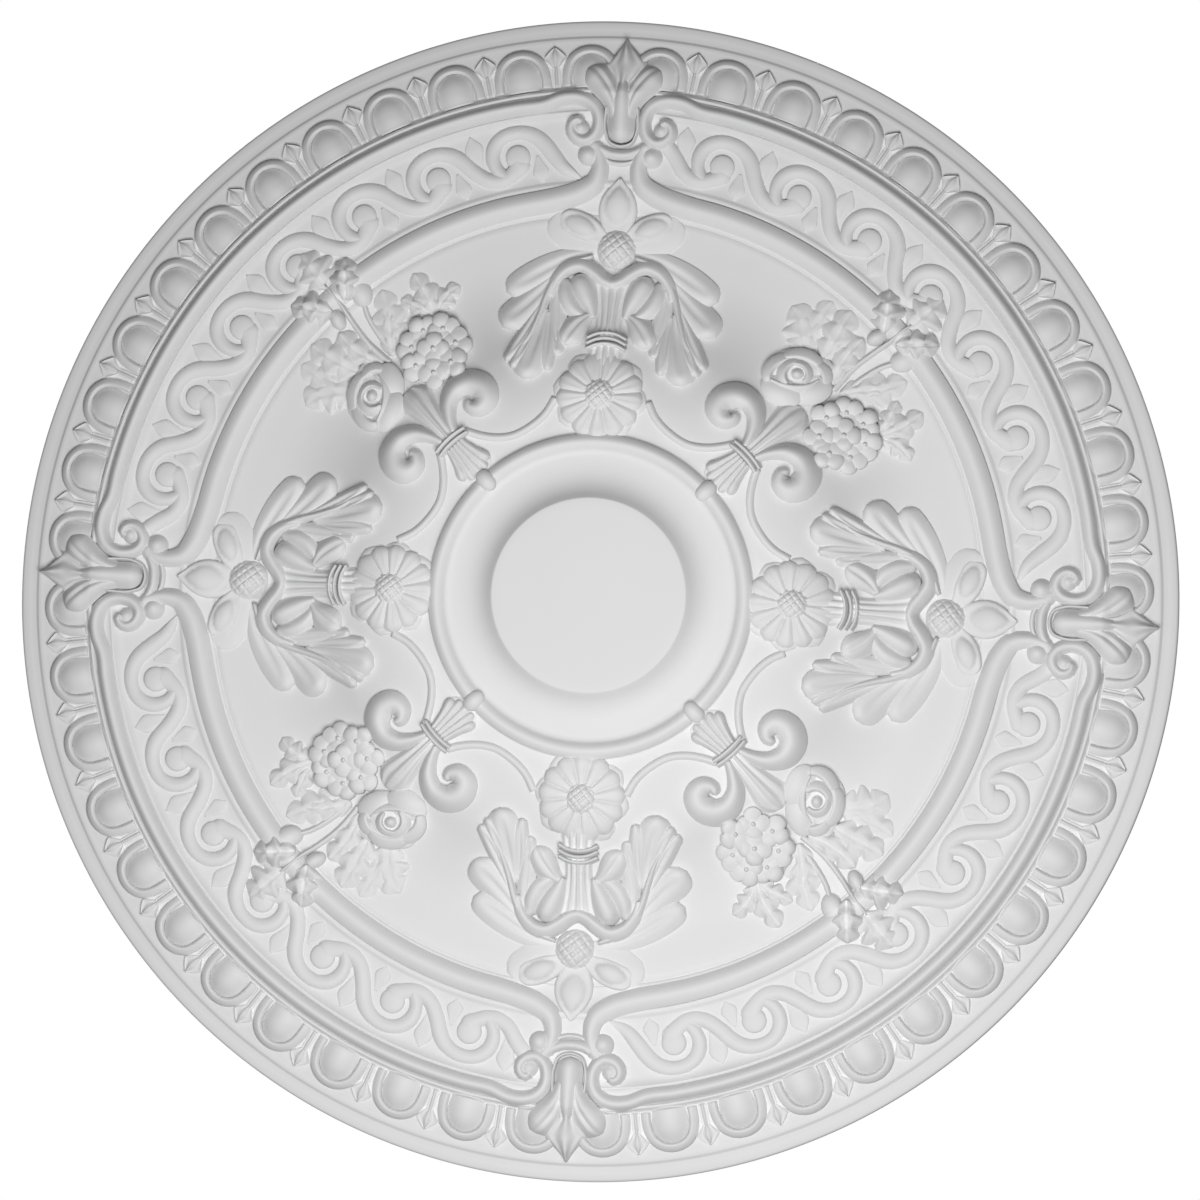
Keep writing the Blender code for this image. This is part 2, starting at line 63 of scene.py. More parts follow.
class Place(Enum):
    """Where a motif is repeated: on the four axes of the rose, or half way between them."""

    AXES = 0.0
    DIAGONALS = 45.0

    def angles(self) -> list[float]:
        """The four bearings of the motif, in degrees."""
        return [self.value + 90.0 * index for index in range(QUARTERS)]


@dataclass(frozen=True)
class Patch:
    """A closed surface, with its vertices in millimetres and the face of the rose upwards."""

    verts: Points
    quads: Points
    tris: Points

    def turned(self, bearing: float) -> "Patch":
        """The patch turned clockwise about the middle of the rose.

        Args:
            bearing: The turn in degrees.

        Returns:
            x cos + y sin and y cos - x sin for every vertex, with the same faces.
        """
        cosine, sine = math.cos(math.radians(bearing)), math.sin(math.radians(bearing))
        matrix = np.array([[cosine, -sine, 0.0], [sine, cosine, 0.0], [0.0, 0.0, 1.0]])
        return Patch(self.verts @ matrix, self.quads, self.tris)

    def mirrored(self) -> "Patch":
        """The patch on the other side of its axis, with its faces turned to point outwards."""
        return Patch(self.verts * (-1.0, 1.0, 1.0), self.quads[:, ::-1], self.tris[:, ::-1])


def tube(rings: Points) -> Patch:
    """Close a stack of loops into one surface.

    Vertex (i, j) is joined to (i, j + 1), (i + 1, j + 1) and (i + 1, j), with j running round the
    loop, and each end loop is closed by triangles to its own middle.

    Args:
        rings: An array of loops, shaped (loops, points of a loop, 3).

    Returns:
        The closed patch, with its faces outwards.
    """
    rows, columns, _ = rings.shape
    grid = np.arange(rows * columns).reshape(rows, columns)
    beside = np.roll(grid, -1, axis=1)
    quads = np.stack([grid[:-1], beside[:-1], beside[1:], grid[1:]], axis=-1).reshape(-1, 4)
    first = np.full(columns, rows * columns)
    caps = [
        np.stack([first, beside[0], grid[0]], axis=-1),
        np.stack([first + 1, grid[-1], beside[-1]], axis=-1),
    ]
    tris = np.concatenate(caps)
    verts = np.concatenate([rings.reshape(-1, 3), rings[[0, -1]].mean(axis=1)])
    corners = verts[np.concatenate([tris, quads[:, :3], quads[:, [0, 2, 3]]])]
    volume = np.einsum("ij,ij->", corners[:, 0], np.cross(corners[:, 1], corners[:, 2]))
    if volume < 0:
        quads, tris = quads[:, ::-1], tris[:, ::-1]
    return Patch(verts, quads, tris)


def smooth(points: Rows, steps: int) -> Points:
    """Points evenly spaced along a cubic curve through every given point.

    Each span is a Hermite cubic in the chord length, with the slope at a point taken from its
    neighbours. The first two columns are the place, and the others follow them.

    Args:
        points: Rows of numbers, the first two being across and out.
        steps: How many points to return.

    Returns:
        An array of shape (steps, columns).
    """
    given = np.asarray(points, float)
    reach = np.concatenate([[0.0], np.cumsum(np.hypot(*np.diff(given[:, :2], axis=0).T))])
    slopes = np.gradient(given, reach, axis=0)
    dense = np.linspace(0.0, reach[-1], steps * 8)
    span = np.clip(np.searchsorted(reach, dense, side="right") - 1, 0, len(reach) - 2)
    width = (reach[span + 1] - reach[span])[:, None]
    t = (dense - reach[span])[:, None] / width
    fine = (
        (2 * t**3 - 3 * t**2 + 1) * given[span]
        + (t**3 - 2 * t**2 + t) * width * slopes[span]
        + (3 * t**2 - 2 * t**3) * given[span + 1]
        + (t**3 - t**2) * width * slopes[span + 1]
    )
    length = np.concatenate([[0.0], np.cumsum(np.hypot(*np.diff(fine[:, :2], axis=0).T))])
    even = np.linspace(0.0, length[-1], steps)
    return np.stack([np.interp(even, length, column) for column in fine.T], axis=1)


@dataclass(frozen=True)
class Profile:
    """Section of the turned body: radii and heights of the face, without the rings on it."""

    canopy: float = 63.5
    cove_width: float = 29.6
    cove_foot: float = 55.6
    cove_rise: float = 13.7
    bead_middle: float = 100.5
    bead_half: float = 5.3
    bead_top: float = 62.0
    bead_rise: float = 5.2
    field_inner: float = 106.9
    field_outer: float = 251.6
    field_top: float = 53.0
    field_foot: float = 15.0
    fall_start: float = 10.6
    fall_run: float = 110.0
    rim: float = 380.0
    projection: float = 70.0

    def face(self) -> Points:
        """Radius and height of the face from the middle outwards.

        Returns:
            The flat disc, a cove that falls as (1 - share)^3.4, an arched bead, a field that falls
            as 2 share^2 and then as 1 - 2 (1 - share)^2, the flat bands with their small steps, the
            fillet, the sloping ground of the eggs, the margin and the flange.
        """
        cove = np.linspace(0.0, 1.0, 14)[:, None]
        cove_line = np.hstack([
            self.canopy + 0.4 + self.cove_width * cove, self.cove_foot + self.cove_rise * (1 - cove) ** 3.4,
        ])
        arch = np.linspace(-1.0, 1.0, 13)
        bead = np.stack([
            self.bead_middle + self.bead_half * arch, self.bead_top - self.bead_rise * arch**2,
        ], axis=1)
        width = self.field_outer - self.field_inner
        share = np.linspace(0.0, 1.0, 36)[1:, None]
        steep = np.clip((share * width - self.fall_start) / self.fall_run, 0, 1)
        fall = np.where(steep < 0.5, 2 * steep**2, 1 - 2 * (1 - steep) ** 2)
        field_line = np.hstack([
            self.field_inner + width * share, self.field_top - (self.field_top - self.field_foot) * fall,
        ])
        disc = [(20.0, 70.0), (40.0, 70.0), (58.0, 70.0), (62.6, 70.0), (63.2, 69.9), (63.6, 69.6)]
        bands = [
            (251.9, 14.2), (252.5, 15.2), (253.2, 15.9), (254.4, 15.9), (269.6, 16.5), (269.9, 18.1),
            (270.4, 18.4), (272.4, 18.4), (273.0, 18.1), (274.4, 16.8), (275.0, 16.5), (280.0, 16.5),
            (296.0, 16.5), (312.0, 16.5), (318.0, 16.5), (318.4, 17.9), (318.9, 18.3), (319.7, 18.3),
            (320.2, 17.6), (320.6, 16.5), (326.0, 16.5), (331.3, 16.5), (331.6, 17.0), (331.9, 20.0),
            (332.2, 20.5), (333.3, 20.5), (333.8, 20.1), (335.2, 15.0), (336.2, 14.4), (345.0, 12.8),
            (355.0, 10.7), (363.6, 9.0), (366.0, 9.0), (368.2, 9.0), (368.7, 8.7), (369.9, 7.1),
            (370.4, 6.9), (374.0, 6.9), (378.2, 6.8), (379.4, 6.3), (379.9, 5.4),
        ]
        edge = [(106.1, 53.6), (self.field_inner, self.field_top)]
        return np.concatenate([disc, cove_line, bead, edge, field_line, bands])


PROFILE = Profile()
FACE = PROFILE.face()
LEVELS = np.concatenate([
    [(0.0, 57.0), (92.0, 57.0), (106.0, 54.0)], FACE[(FACE[:, 0] > 107.0) & (FACE[:, 0] < 251.0)],
    [(256.0, 15.9), (262.0, 16.5), (332.0, 16.5), (337.0, 14.4), (345.0, 12.8), (355.0, 10.7), (363.6, 9.0),
     (368.0, 9.0), (371.0, 7.0), (380.0, 7.0)],
])


def ground(across: Points, out: Points) -> Points:
    """Height of the turned face under points of a motif."""
    return np.interp(np.hypot(across, out), FACE[:, 0], FACE[:, 1])


def level(across: Points, out: Points) -> Points:
    """Height of the face under points of a motif, without the small steps of its bands."""
    return np.interp(np.hypot(across, out), LEVELS[:, 0], LEVELS[:, 1])


def crown(along: Points, side: Points) -> Points:
    """Arched section on low upright sides: 0.25 + 0.75 (1 - side^2)."""
    return 0.25 + 0.75 * (1 - side**2) + 0 * along


def creased(along: Points, side: Points) -> Points:
    """Rounded section with a soft crease down the middle."""
    return crown(along, side) * (1 - 0.3 * np.exp(-((side / 0.16) ** 2)) * np.sin(np.pi * along) ** 0.5)


def bossed(along: Points, side: Points) -> Points:
    """Petal section: a raised lens inside a groove and a narrow rim.

    Args:
        along: Share of the way along the path.
        side: Place across the strip, from -1 to 1.

    Returns:
        rim (0.5 + 0.12 side^2) + 0.5 lens, where rim is (1 - side^8)^0.5, and lens is the half
        ball over reach, the distance from the middle of the petal.
    """
    reach = np.sqrt(side**2 + (2.0 * along - 1.05) ** 2 * 0.95)
    lens = np.sqrt(np.clip(1 - (reach / 0.66) ** 2, 0, 1))
    rim = np.clip(1 - np.abs(side) ** 8, 0, 1) ** 0.5
    return rim * (0.5 + 0.12 * np.abs(side) ** 2) + 0.5 * lens


def fluted(count: int, depth: float) -> Section:
    """A rounded section with flutes.

    Args:
        count: How many ribs there are across.
        depth: The depth of a flute as a share of the height.

    Returns:
        A section that is the rounded one, lowered by depth where cos(count pi side) is low.
    """

    def section(along: Points, side: Points) -> Points:
        """The rounded section, with a cosine wave across it."""
        return crown(along, side) * (1 - depth * (0.5 - 0.5 * np.cos(np.pi * (count * side + count - 1))))

    return section


def strip(
    path: Rows,
    section: Section,
    steps: int,
    sides: int,
    round_start: bool = False,
    round_end: bool = False,
    band_radius: float = 0.0,
    lobes: int = 0,
) -> Patch:
    """Carry a section along a path over the turned face.

    A point of the surface is the path's point, plus side times the half width along the path's
    right-hand normal, at the face's height plus lift plus height times section(along, side). The
    foot goes straight down to SINK under the face, and a round end narrows as a quarter circle.

    Args:
        path: Rows of across, out, half width, height and an optional lift.
        section: Height across the strip, from 0 to about 1, for along 0 to 1 and side -1 to 1.
        steps: Loops along the path.
        sides: Points across the section.
        round_start: Whether the first end is round.
        round_end: Whether the last end is round.
        band_radius: When not 0, across is an arc length at this radius.
        lobes: How many round lobes each edge has, as in 1 - 0.34 (1 - |sin(lobes pi along)|^0.7).

    Returns:
        The closed patch.
    """
    line = smooth(path, steps)
    across, out, half, height = (line[:, column, None] for column in range(4))
    lift = line[:, 4, None] if line.shape[1] > 4 else 0.0
    run = np.gradient(line[:, :2], axis=0)
    run /= np.hypot(run[:, 0], run[:, 1])[:, None]
    length = np.concatenate([[0.0], np.cumsum(np.hypot(*np.diff(line[:, :2], axis=0).T))])[:, None]
    for wanted, reach, end in ((round_start, length, 0), (round_end, length[-1] - length, -1)):
        if wanted:
            short = np.clip(1 - reach / max(half[end, 0], 1e-3), 0, 1)
            taper = np.sqrt(np.clip(1 - short**2, 0.0004, 1))
            half = half * taper
            height = height * taper**0.7
    side = -np.cos(np.linspace(0.0, np.pi, sides))[None, :]
    along = np.linspace(0.0, 1.0, steps)[:, None]
    if lobes:
        half = half * (1 - 0.34 * (1 - np.abs(np.sin(np.pi * lobes * along)) ** 0.7))
    u = across + half * side * run[:, 1, None]
    w = out - half * side * run[:, 0, None]
    if band_radius:
        bearing, radius = u / band_radius, w
        u, w = radius * np.sin(bearing), radius * np.cos(bearing)
    foot = np.stack([u, w, np.minimum(ground(u, w), level(u, w)) - SINK], axis=-1)
    face = np.stack([u, w, level(u, w) + lift + height * section(along, side)], axis=-1)
    return tube(np.concatenate([foot[:, :1], face, foot[:, -1:]], axis=1))


def dome(
    across: float,
    out: float,
    sizes: tuple[float, float, float],
    lift: float = 0.0,
    texture: Texture | None = None,
    rings: int = 14,
    spokes: int = 40,
    bulge: float = 0.8,
    turn: float = 0.0,
    petals: int = 0,
) -> Patch:
    """A boss on the face: height times (1 - reach^2)^bulge, on a polar grid.

    With petals, its outline and its height are drawn in between them by 0.3 reach^2 times one less
    |sin(petals spin / 2)|^0.6.

    Args:
        across: Place of its middle to the right of the motif's axis.
        out: Place of its middle out from the middle of the rose.
        sizes: Half sizes across and out, and its height.
        lift: How far it stands above the face.
        texture: Height added for x and y in millimetres from its middle.
        rings: Loops of the grid.
        spokes: Points of a loop.
        bulge: 0.5 for a ball, 1 for a shallow bowl turned over.
        turn: Clockwise turn of its sizes in radians.
        petals: How many petals its outline has.

    Returns:
        The closed patch.
    """
    reach = np.sin(np.linspace(0.03, np.pi / 2, rings))[:, None]
    spin = np.linspace(0.0, 2 * np.pi, spokes, endpoint=False)[None, :]
    gap = 0.0 * spin
    if petals:
        gap = 0.3 * (1 - np.abs(np.sin(petals * spin / 2)) ** 0.6)
    wide = sizes[0] * reach * np.cos(spin) * (1 - gap * reach**2)
    long = sizes[1] * reach * np.sin(spin) * (1 - gap * reach**2)
    x = wide * math.cos(turn) + long * math.sin(turn)
    y = long * math.cos(turn) - wide * math.sin(turn)
    rise = sizes[2] * np.clip(1 - reach**2, 0, 1) ** bulge * (1 - 1.4 * gap * reach)
    if texture is not None:
        rise = rise + texture(x, y) * np.clip(1 - reach**6, 0, 1)
    u, w = across + x, out + y
    middle = 0.5 * level(u, w) + 0.5 * level(np.array(across), np.array(out))
    top = np.stack([u, w, middle + lift + rise], axis=-1)
    foot = np.stack([u[-1:], w[-1:], np.minimum(ground(u, w), level(u, w))[-1:] - SINK], axis=-1)
    return tube(np.concatenate([top, foot]))


def hatched(pitch: float, depth: float, turn: float) -> Texture:
    """Two families of grooves that cross.

    Args:
        pitch: Distance between grooves.
        depth: Depth of a groove.
        turn: Bearing of the first family in degrees.

    Returns:
        A function of x and y that lowers the surface by depth where either family has a groove.
    """
    cosine, sine = math.cos(math.radians(turn)), math.sin(math.radians(turn))

    def texture(x: Points, y: Points) -> Points:
        """Minus depth times the deeper of two rows of grooves, each a power of a cosine.

        Args:
            x: Place across, from the middle.
            y: Place out, from the middle.

        Returns:
            The height to add.
        """
        first = np.cos(np.pi * (x * cosine + y * sine) / pitch) ** 8
        second = np.cos(np.pi * (x * -sine + y * cosine) / pitch) ** 8
        return -depth * np.maximum(first, second)

    return texture


def balanced(half: Rows) -> list[tuple[float, ...]]:
    """A path that is the same on both sides of the axis, from its left half and its middle point."""
    return [tuple(row) for row in half] + [(-across, *rest) for across, *rest in reversed(half[:-1])]


def repeated(patches: Iterable[Patch], angles: Sequence[float]) -> list[Patch]:
    """Every patch at every bearing."""
    return [patch.turned(angle) for patch in patches for angle in angles]


def both(patches: Iterable[Patch]) -> list[Patch]:
    """Every patch, then its mirror image on the other side of the axis."""
    kept = list(patches)
    return kept + [patch.mirrored() for patch in kept]


@dataclass(frozen=True)
class PrimedFinish:
    """Factory primer on moulded foam: matt white with a fine skin."""

    colour: tuple[float, float, float, float] = (0.80, 0.80, 0.80, 1.0)
    tone: tuple[float, float, float, float] = (0.77, 0.77, 0.77, 1.0)
    roughness: float = 0.6
    specular: float = 0.3
    tone_scale: float = 14.0
    tone_detail: float = 4.0
    grain_scale: float = 900.0
    grain_detail: float = 3.0
    grain_strength: float = 0.06
    grain_height: float = 0.0004

    def material(self) -> bpy.types.Material:
        """Build the primed white on Object coordinates.

        Returns:
            A material with a slow change of tone and a fine bumped grain.
        """
        material = bpy.data.materials.new("primed_white")
        material.use_nodes = True
        nodes, links = material.node_tree.nodes, material.node_tree.links
        shader = nodes["Principled BSDF"]
        shader.inputs["Roughness"].default_value = self.roughness
        shader.inputs["Specular IOR Level"].default_value = self.specular
        place = nodes.new("ShaderNodeTexCoord")
        cloud = nodes.new("ShaderNodeTexNoise")
        cloud.inputs["Scale"].default_value = self.tone_scale
        cloud.inputs["Detail"].default_value = self.tone_detail
        blend = nodes.new("ShaderNodeMix")
        blend.data_type = "RGBA"
        blend.inputs["A"].default_value = self.colour
        blend.inputs["B"].default_value = self.tone
        grain = nodes.new("ShaderNodeTexNoise")
        grain.inputs["Scale"].default_value = self.grain_scale
        grain.inputs["Detail"].default_value = self.grain_detail
        bump = nodes.new("ShaderNodeBump")
        bump.inputs["Strength"].default_value = self.grain_strength
        bump.inputs["Distance"].default_value = self.grain_height
        links.new(place.outputs["Object"], cloud.inputs["Vector"])
        links.new(place.outputs["Object"], grain.inputs["Vector"])
        links.new(cloud.outputs["Fac"], blend.inputs["Factor"])
        links.new(blend.outputs["Result"], shader.inputs["Base Color"])
        links.new(grain.outputs["Fac"], bump.inputs["Height"])
        links.new(bump.outputs["Normal"], shader.inputs["Normal"])
        return material


@dataclass
class Carver:
    """Turns patches into pieces of the rose, in metres and face down."""

    finish: bpy.types.Material
    made: list[str] = field(default_factory=list)

    def piece(self, name: str, patches: Sequence[Patch]) -> None:
        """Join patches into one object that rides on the body and stands for the node.

        Args:
            name: The piece's name.
            patches: Its closed surfaces.
        """
        starts = np.cumsum([0] + [len(patch.verts) for patch in patches])
        verts = np.concatenate([patch.verts for patch in patches]) * (MM, -MM, -MM)
        quads = np.concatenate([patch.quads + start for patch, start in zip(patches, starts)])
        tris = np.concatenate([patch.tris + start for patch, start in zip(patches, starts)])
        corners = np.concatenate([quads.ravel(), tris.ravel()])
        totals = np.concatenate([np.full(len(quads), 4), np.full(len(tris), 3)])
        mesh = bpy.data.meshes.new(name)
        mesh.vertices.add(len(verts))
        mesh.vertices.foreach_set("co", verts.ravel())
        mesh.loops.add(len(corners))
        mesh.loops.foreach_set("vertex_index", corners.astype(np.int32))
        mesh.polygons.add(len(totals))
        mesh.polygons.foreach_set("loop_start", (np.cumsum(totals) - totals).astype(np.int32))
        mesh.polygons.foreach_set("use_smooth", np.ones(len(totals), bool))
        mesh.update(calc_edges=True)
        mesh.materials.append(self.finish)
        thing = bpy.data.objects.new(name, mesh)
        bpy.context.scene.collection.objects.link(thing)
        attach(thing, "root")
        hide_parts(NODE)
        triangles = 2 * len(quads) + len(tris)
        self.made.append(name)
        log.info("%s: %d triangles", name, triangles)


@dataclass
class TurnedPlate:
    """The turned body: disc, cove, bead, field, bands, fillet, margin and flange, and the back."""

    steps: int = 320
    groove_radii: tuple[float, ...] = (60.0, 110.0, 160.0, 210.0, 260.0, 310.0)
    groove_depth: float = 1.2
    groove_width: float = 5.0
    groove_floor: float = 3.0

    def back(self) -> Points:
        """Radius and height of the back, from the rim to the middle, with its keying grooves.

        Returns:
            Rows of radius and height.
        """
        rim = PROFILE.rim
        line = [(rim, 4.6), (rim, 1.0), (rim - 0.3, 0.3), (rim - 1.0, 0.0), (352.0, 0.0)]
        for radius in reversed(self.groove_radii):
            mouth, floor = self.groove_width / 2, self.groove_floor / 2
            line += [
                (radius + mouth, 0.0), (radius + floor, self.groove_depth),
                (radius - floor, self.groove_depth), (radius - mouth, 0.0),
            ]
        return np.array(line + [(20.0, 0.0), (0.5, 0.0)])

    def build(self, carver: Carver) -> None:
        """Turn the profile about Z: x = r sin, y = r cos, h as drawn.

        Args:
            carver: Makes the pieces from their patches.
        """
        line = np.concatenate([[(0.5, PROFILE.projection)], FACE, self.back()])
        turn = np.linspace(0.0, 2 * np.pi, self.steps, endpoint=False)[None, :]
        radius, height = line[:, 0, None], line[:, 1, None]
        rings = np.stack([radius * np.sin(turn), radius * np.cos(turn), height + 0 * turn], axis=-1)
        carver.piece("turned_plate", [tube(rings)])


@dataclass
class EggAndDart:
    """The border: eggs in round-headed frames, and darts with a ribbed stem and a pointed head."""

    count: int = 48
    foot: float = 336.2
    frame_height: float = 5.2
    egg_height: float = 7.4

    @staticmethod
    def frame_section(along: Points, side: Points) -> Points:
        """A steep outer edge, a long slope up to a crest near the egg, and a short fall to it."""
        return np.interp(side, [-1.0, -0.9, -0.62, -0.2, 0.2, 0.5, 0.7, 0.9, 1.0],
                         [0.0, 0.3, 0.62, 0.84, 0.97, 1.0, 0.86, 0.5, 0.2]) + 0 * along

    @staticmethod
    def dart_section(along: Points, side: Points) -> Points:
        """A round rib down the middle, 1 - (side / 0.55)^2, between two low ledges."""
        return np.maximum(1 - (side / 0.55) ** 2, 0.35) + 0 * along

    @staticmethod
    def head_section(along: Points, side: Points) -> Points:
        """A rounded rib down the middle between two flat wings that rise to their edges."""
        return 0.42 + 0.58 * np.exp(-((side / 0.3) ** 2)) + 0.2 * np.abs(side) ** 3 + 0 * along

    @staticmethod
    def egg_section(along: Points, side: Points) -> Points:
        """An arch: (1 - side^2)^0.8."""
        return np.clip(1 - side**2, 0, 1) ** 0.8 + 0 * along

    def build(self, carver: Carver) -> None:
        """Set one frame, egg and dart in each unit of the border, but no dart under a fleur.

        Args:
            carver: Makes the pieces from their patches.
        """
        high, foot = self.frame_height, self.foot
        arch = balanced([
            (-15.3, foot, 3.2, high * 0.9), (-15.6, 342.0, 3.2, high), (-15.0, 348.5, 3.2, high),
            (-12.6, 354.8, 3.1, high), (-7.2, 359.4, 3.0, high), (0.0, 361.0, 3.0, high),
        ])
        egg_frame = strip(arch, self.frame_section, steps=42, sides=15)
        tall = self.egg_height
        egg = strip([(0, foot - 0.6, 10.8, tall * 0.78), (0, 343, 12.0, tall), (0, 350, 12.0, tall),
                     (0, 358.4, 11.6, tall * 0.8)], self.egg_section, 26, 19, round_end=True)
        stem = strip([(0, foot, 2.6, 4.4), (0, 344, 2.5, 4.6), (0, 351.4, 2.2, 4.4)],
                     self.dart_section, 8, 13)
        head = strip([(0, 349.6, 1.6, 4.4), (0, 353.2, 4.8, 5.0), (0, 356.4, 7.0, 5.2), (0, 358.8, 5.2, 5.4),
                      (0, 363.2, 0.5, 4.6)], self.head_section, 20, 17)
        pitch = 360.0 / self.count
        eggs = [pitch * (index + 0.5) for index in range(self.count)]
        darts = [pitch * index for index in range(self.count) if index % (self.count // QUARTERS)]
        carver.piece("egg_frames", repeated([egg_frame], eggs))
        carver.piece("eggs", repeated([egg], eggs))
        carver.piece("darts", repeated([stem, head], darts))


@dataclass
class RunningScrolls:
    """The band of linked scrolls, each ribbon rising round one eye and curling into the next."""

    eyes: int = 7
    pitch: float = 10.6
    radius: float = 294.1
    height: float = 4.2
    eye_radius: float = 8.2

    @staticmethod
    def ribbon_section(along: Points, side: Points) -> Points:
        """An arch on low sides, whose left side rises where the ribbon joins its eye.

        Args:
            along: Share of the way along the path.
            side: Place across the strip, from -1 to 1.

        Returns:
            The height as a share of the strip's.
        """
        stations = [-1.0, -0.75, -0.4, 0.0, 0.4, 0.75, 1.0]
        arch = np.interp(side, stations, [0.2, 0.66, 0.94, 1.0, 0.88, 0.66, 0.3])
        joined = np.interp(side, stations, [0.9, 0.98, 1.0, 0.98, 0.88, 0.64, 0.2])
        share = np.clip((along - 0.82) / 0.12, 0, 1)
        return arch * (1 - share) + joined * share

    @staticmethod
    def leaf_section(along: Points, side: Points) -> Points:
        """A leaf that falls towards its tip, with a light crease from its base."""
        crease = 0.35 * np.exp(-((side / 0.2) ** 2)) * np.clip(1 - along * 1.6, 0, 1)
        return np.clip(1 - side**4, 0, 1) ** 0.5 * (1.0 - 0.35 * along - crease)

    def build(self, carver: Carver) -> None:
        """Lay the ribbons, eyes and gap leaves of one quarter and repeat them.

        Args:
            carver: Makes the pieces from their patches.
        """
        out, next_eye = self.radius, math.radians(self.pitch) * self.radius
        high, eye_radius = self.height, self.eye_radius
        rise = [
            (-7.6, out - 12.6, 3.0, high * 0.96), (-11.6, out - 9.6, 3.8, high),
            (-14.8, out - 5.4, 4.2, high), (-16.2, out - 0.4, 4.5, high), (-15.6, out + 5.2, 4.7, high),
            (-12.3, out + 11.0, 4.7, high), (-6.7, out + 14.9, 4.5, high), (0.3, out + 16.1, 4.5, high),
            (7.4, out + 14.9, 4.7, high), (14.1, out + 11.0, 5.0, high), (19.0, out + 5.3, 5.2, high),
            (23.1, out - 1.3, 5.2, high),
        ]
        curl = [
            (next_eye - 22.3, out - 10.6, 5.0, high), (next_eye - 15.6, out - 12.8, 5.0, high),
            (next_eye - 8.6, out - 11.9, 5.0, high), (next_eye - 2.4, out - 8.6, 5.2, high),
            (next_eye + 2.4, out - 4.8, 5.6, high), (next_eye + 3.4, out - 1.0, 5.0, high),
        ]
        fade = [(next_eye - 24.0, out - 11.5, 4.2, high), (next_eye - 13.0, out - 19.0, 1.0, 1.0)]
        entry = [(next_eye - 43.0, out + 10.0, 4.4, high), (next_eye - 33.0, out + 1.0, 5.2, high)]
        upper = [(-25.2, out - 3.5, 1.2, 0.3), (-26.2, out + 6.0, 4.6, 1.7),
                 (-26.6, out + 12.3, 6.0, 2.4), (-27.0, out + 20.2, 0.4, 1.0)]
        lower = [(13.0, out - 0.6, 0.8, 0.1), (13.5, out - 6.8, 3.8, 1.2),
                 (14.1, out - 12.8, 5.6, 2.0), (14.7, out - 18.4, 0.4, 1.0)]
        first = Place.DIAGONALS.value - self.pitch * (self.eyes - 1) / 2
        ribbons, discs, leaves = [], [], []
        for index in range(self.eyes + 1):
            bearing = first + self.pitch * (index - 1)
            path = (entry if index == 0 else rise) + (fade if index == self.eyes else curl)
            ribbon = strip(path, self.ribbon_section, steps=72, sides=13,
                           round_start=index > 0, round_end=index < self.eyes, band_radius=out)
            ribbons.append(ribbon.turned(bearing))
            if index:
                leaves.append(strip(upper, self.leaf_section, 16, 11, band_radius=out).turned(bearing))
            if index < self.eyes:
                eye = dome(0.2, out - 0.3, (eye_radius, eye_radius, high * 1.02), rings=10, spokes=36,
                           bulge=0.3)
                discs.append(eye.turned(bearing + self.pitch))
                lower_leaf = strip(lower, self.leaf_section, 16, 11, band_radius=out)
                leaves.append(lower_leaf.turned(bearing + self.pitch))
        angles = Place.AXES.angles()
        carver.piece("scroll_ribbons", repeated(ribbons, angles))
        carver.piece("scroll_eyes", repeated(discs, angles))
        carver.piece("scroll_gap_leaves", repeated(leaves, angles))


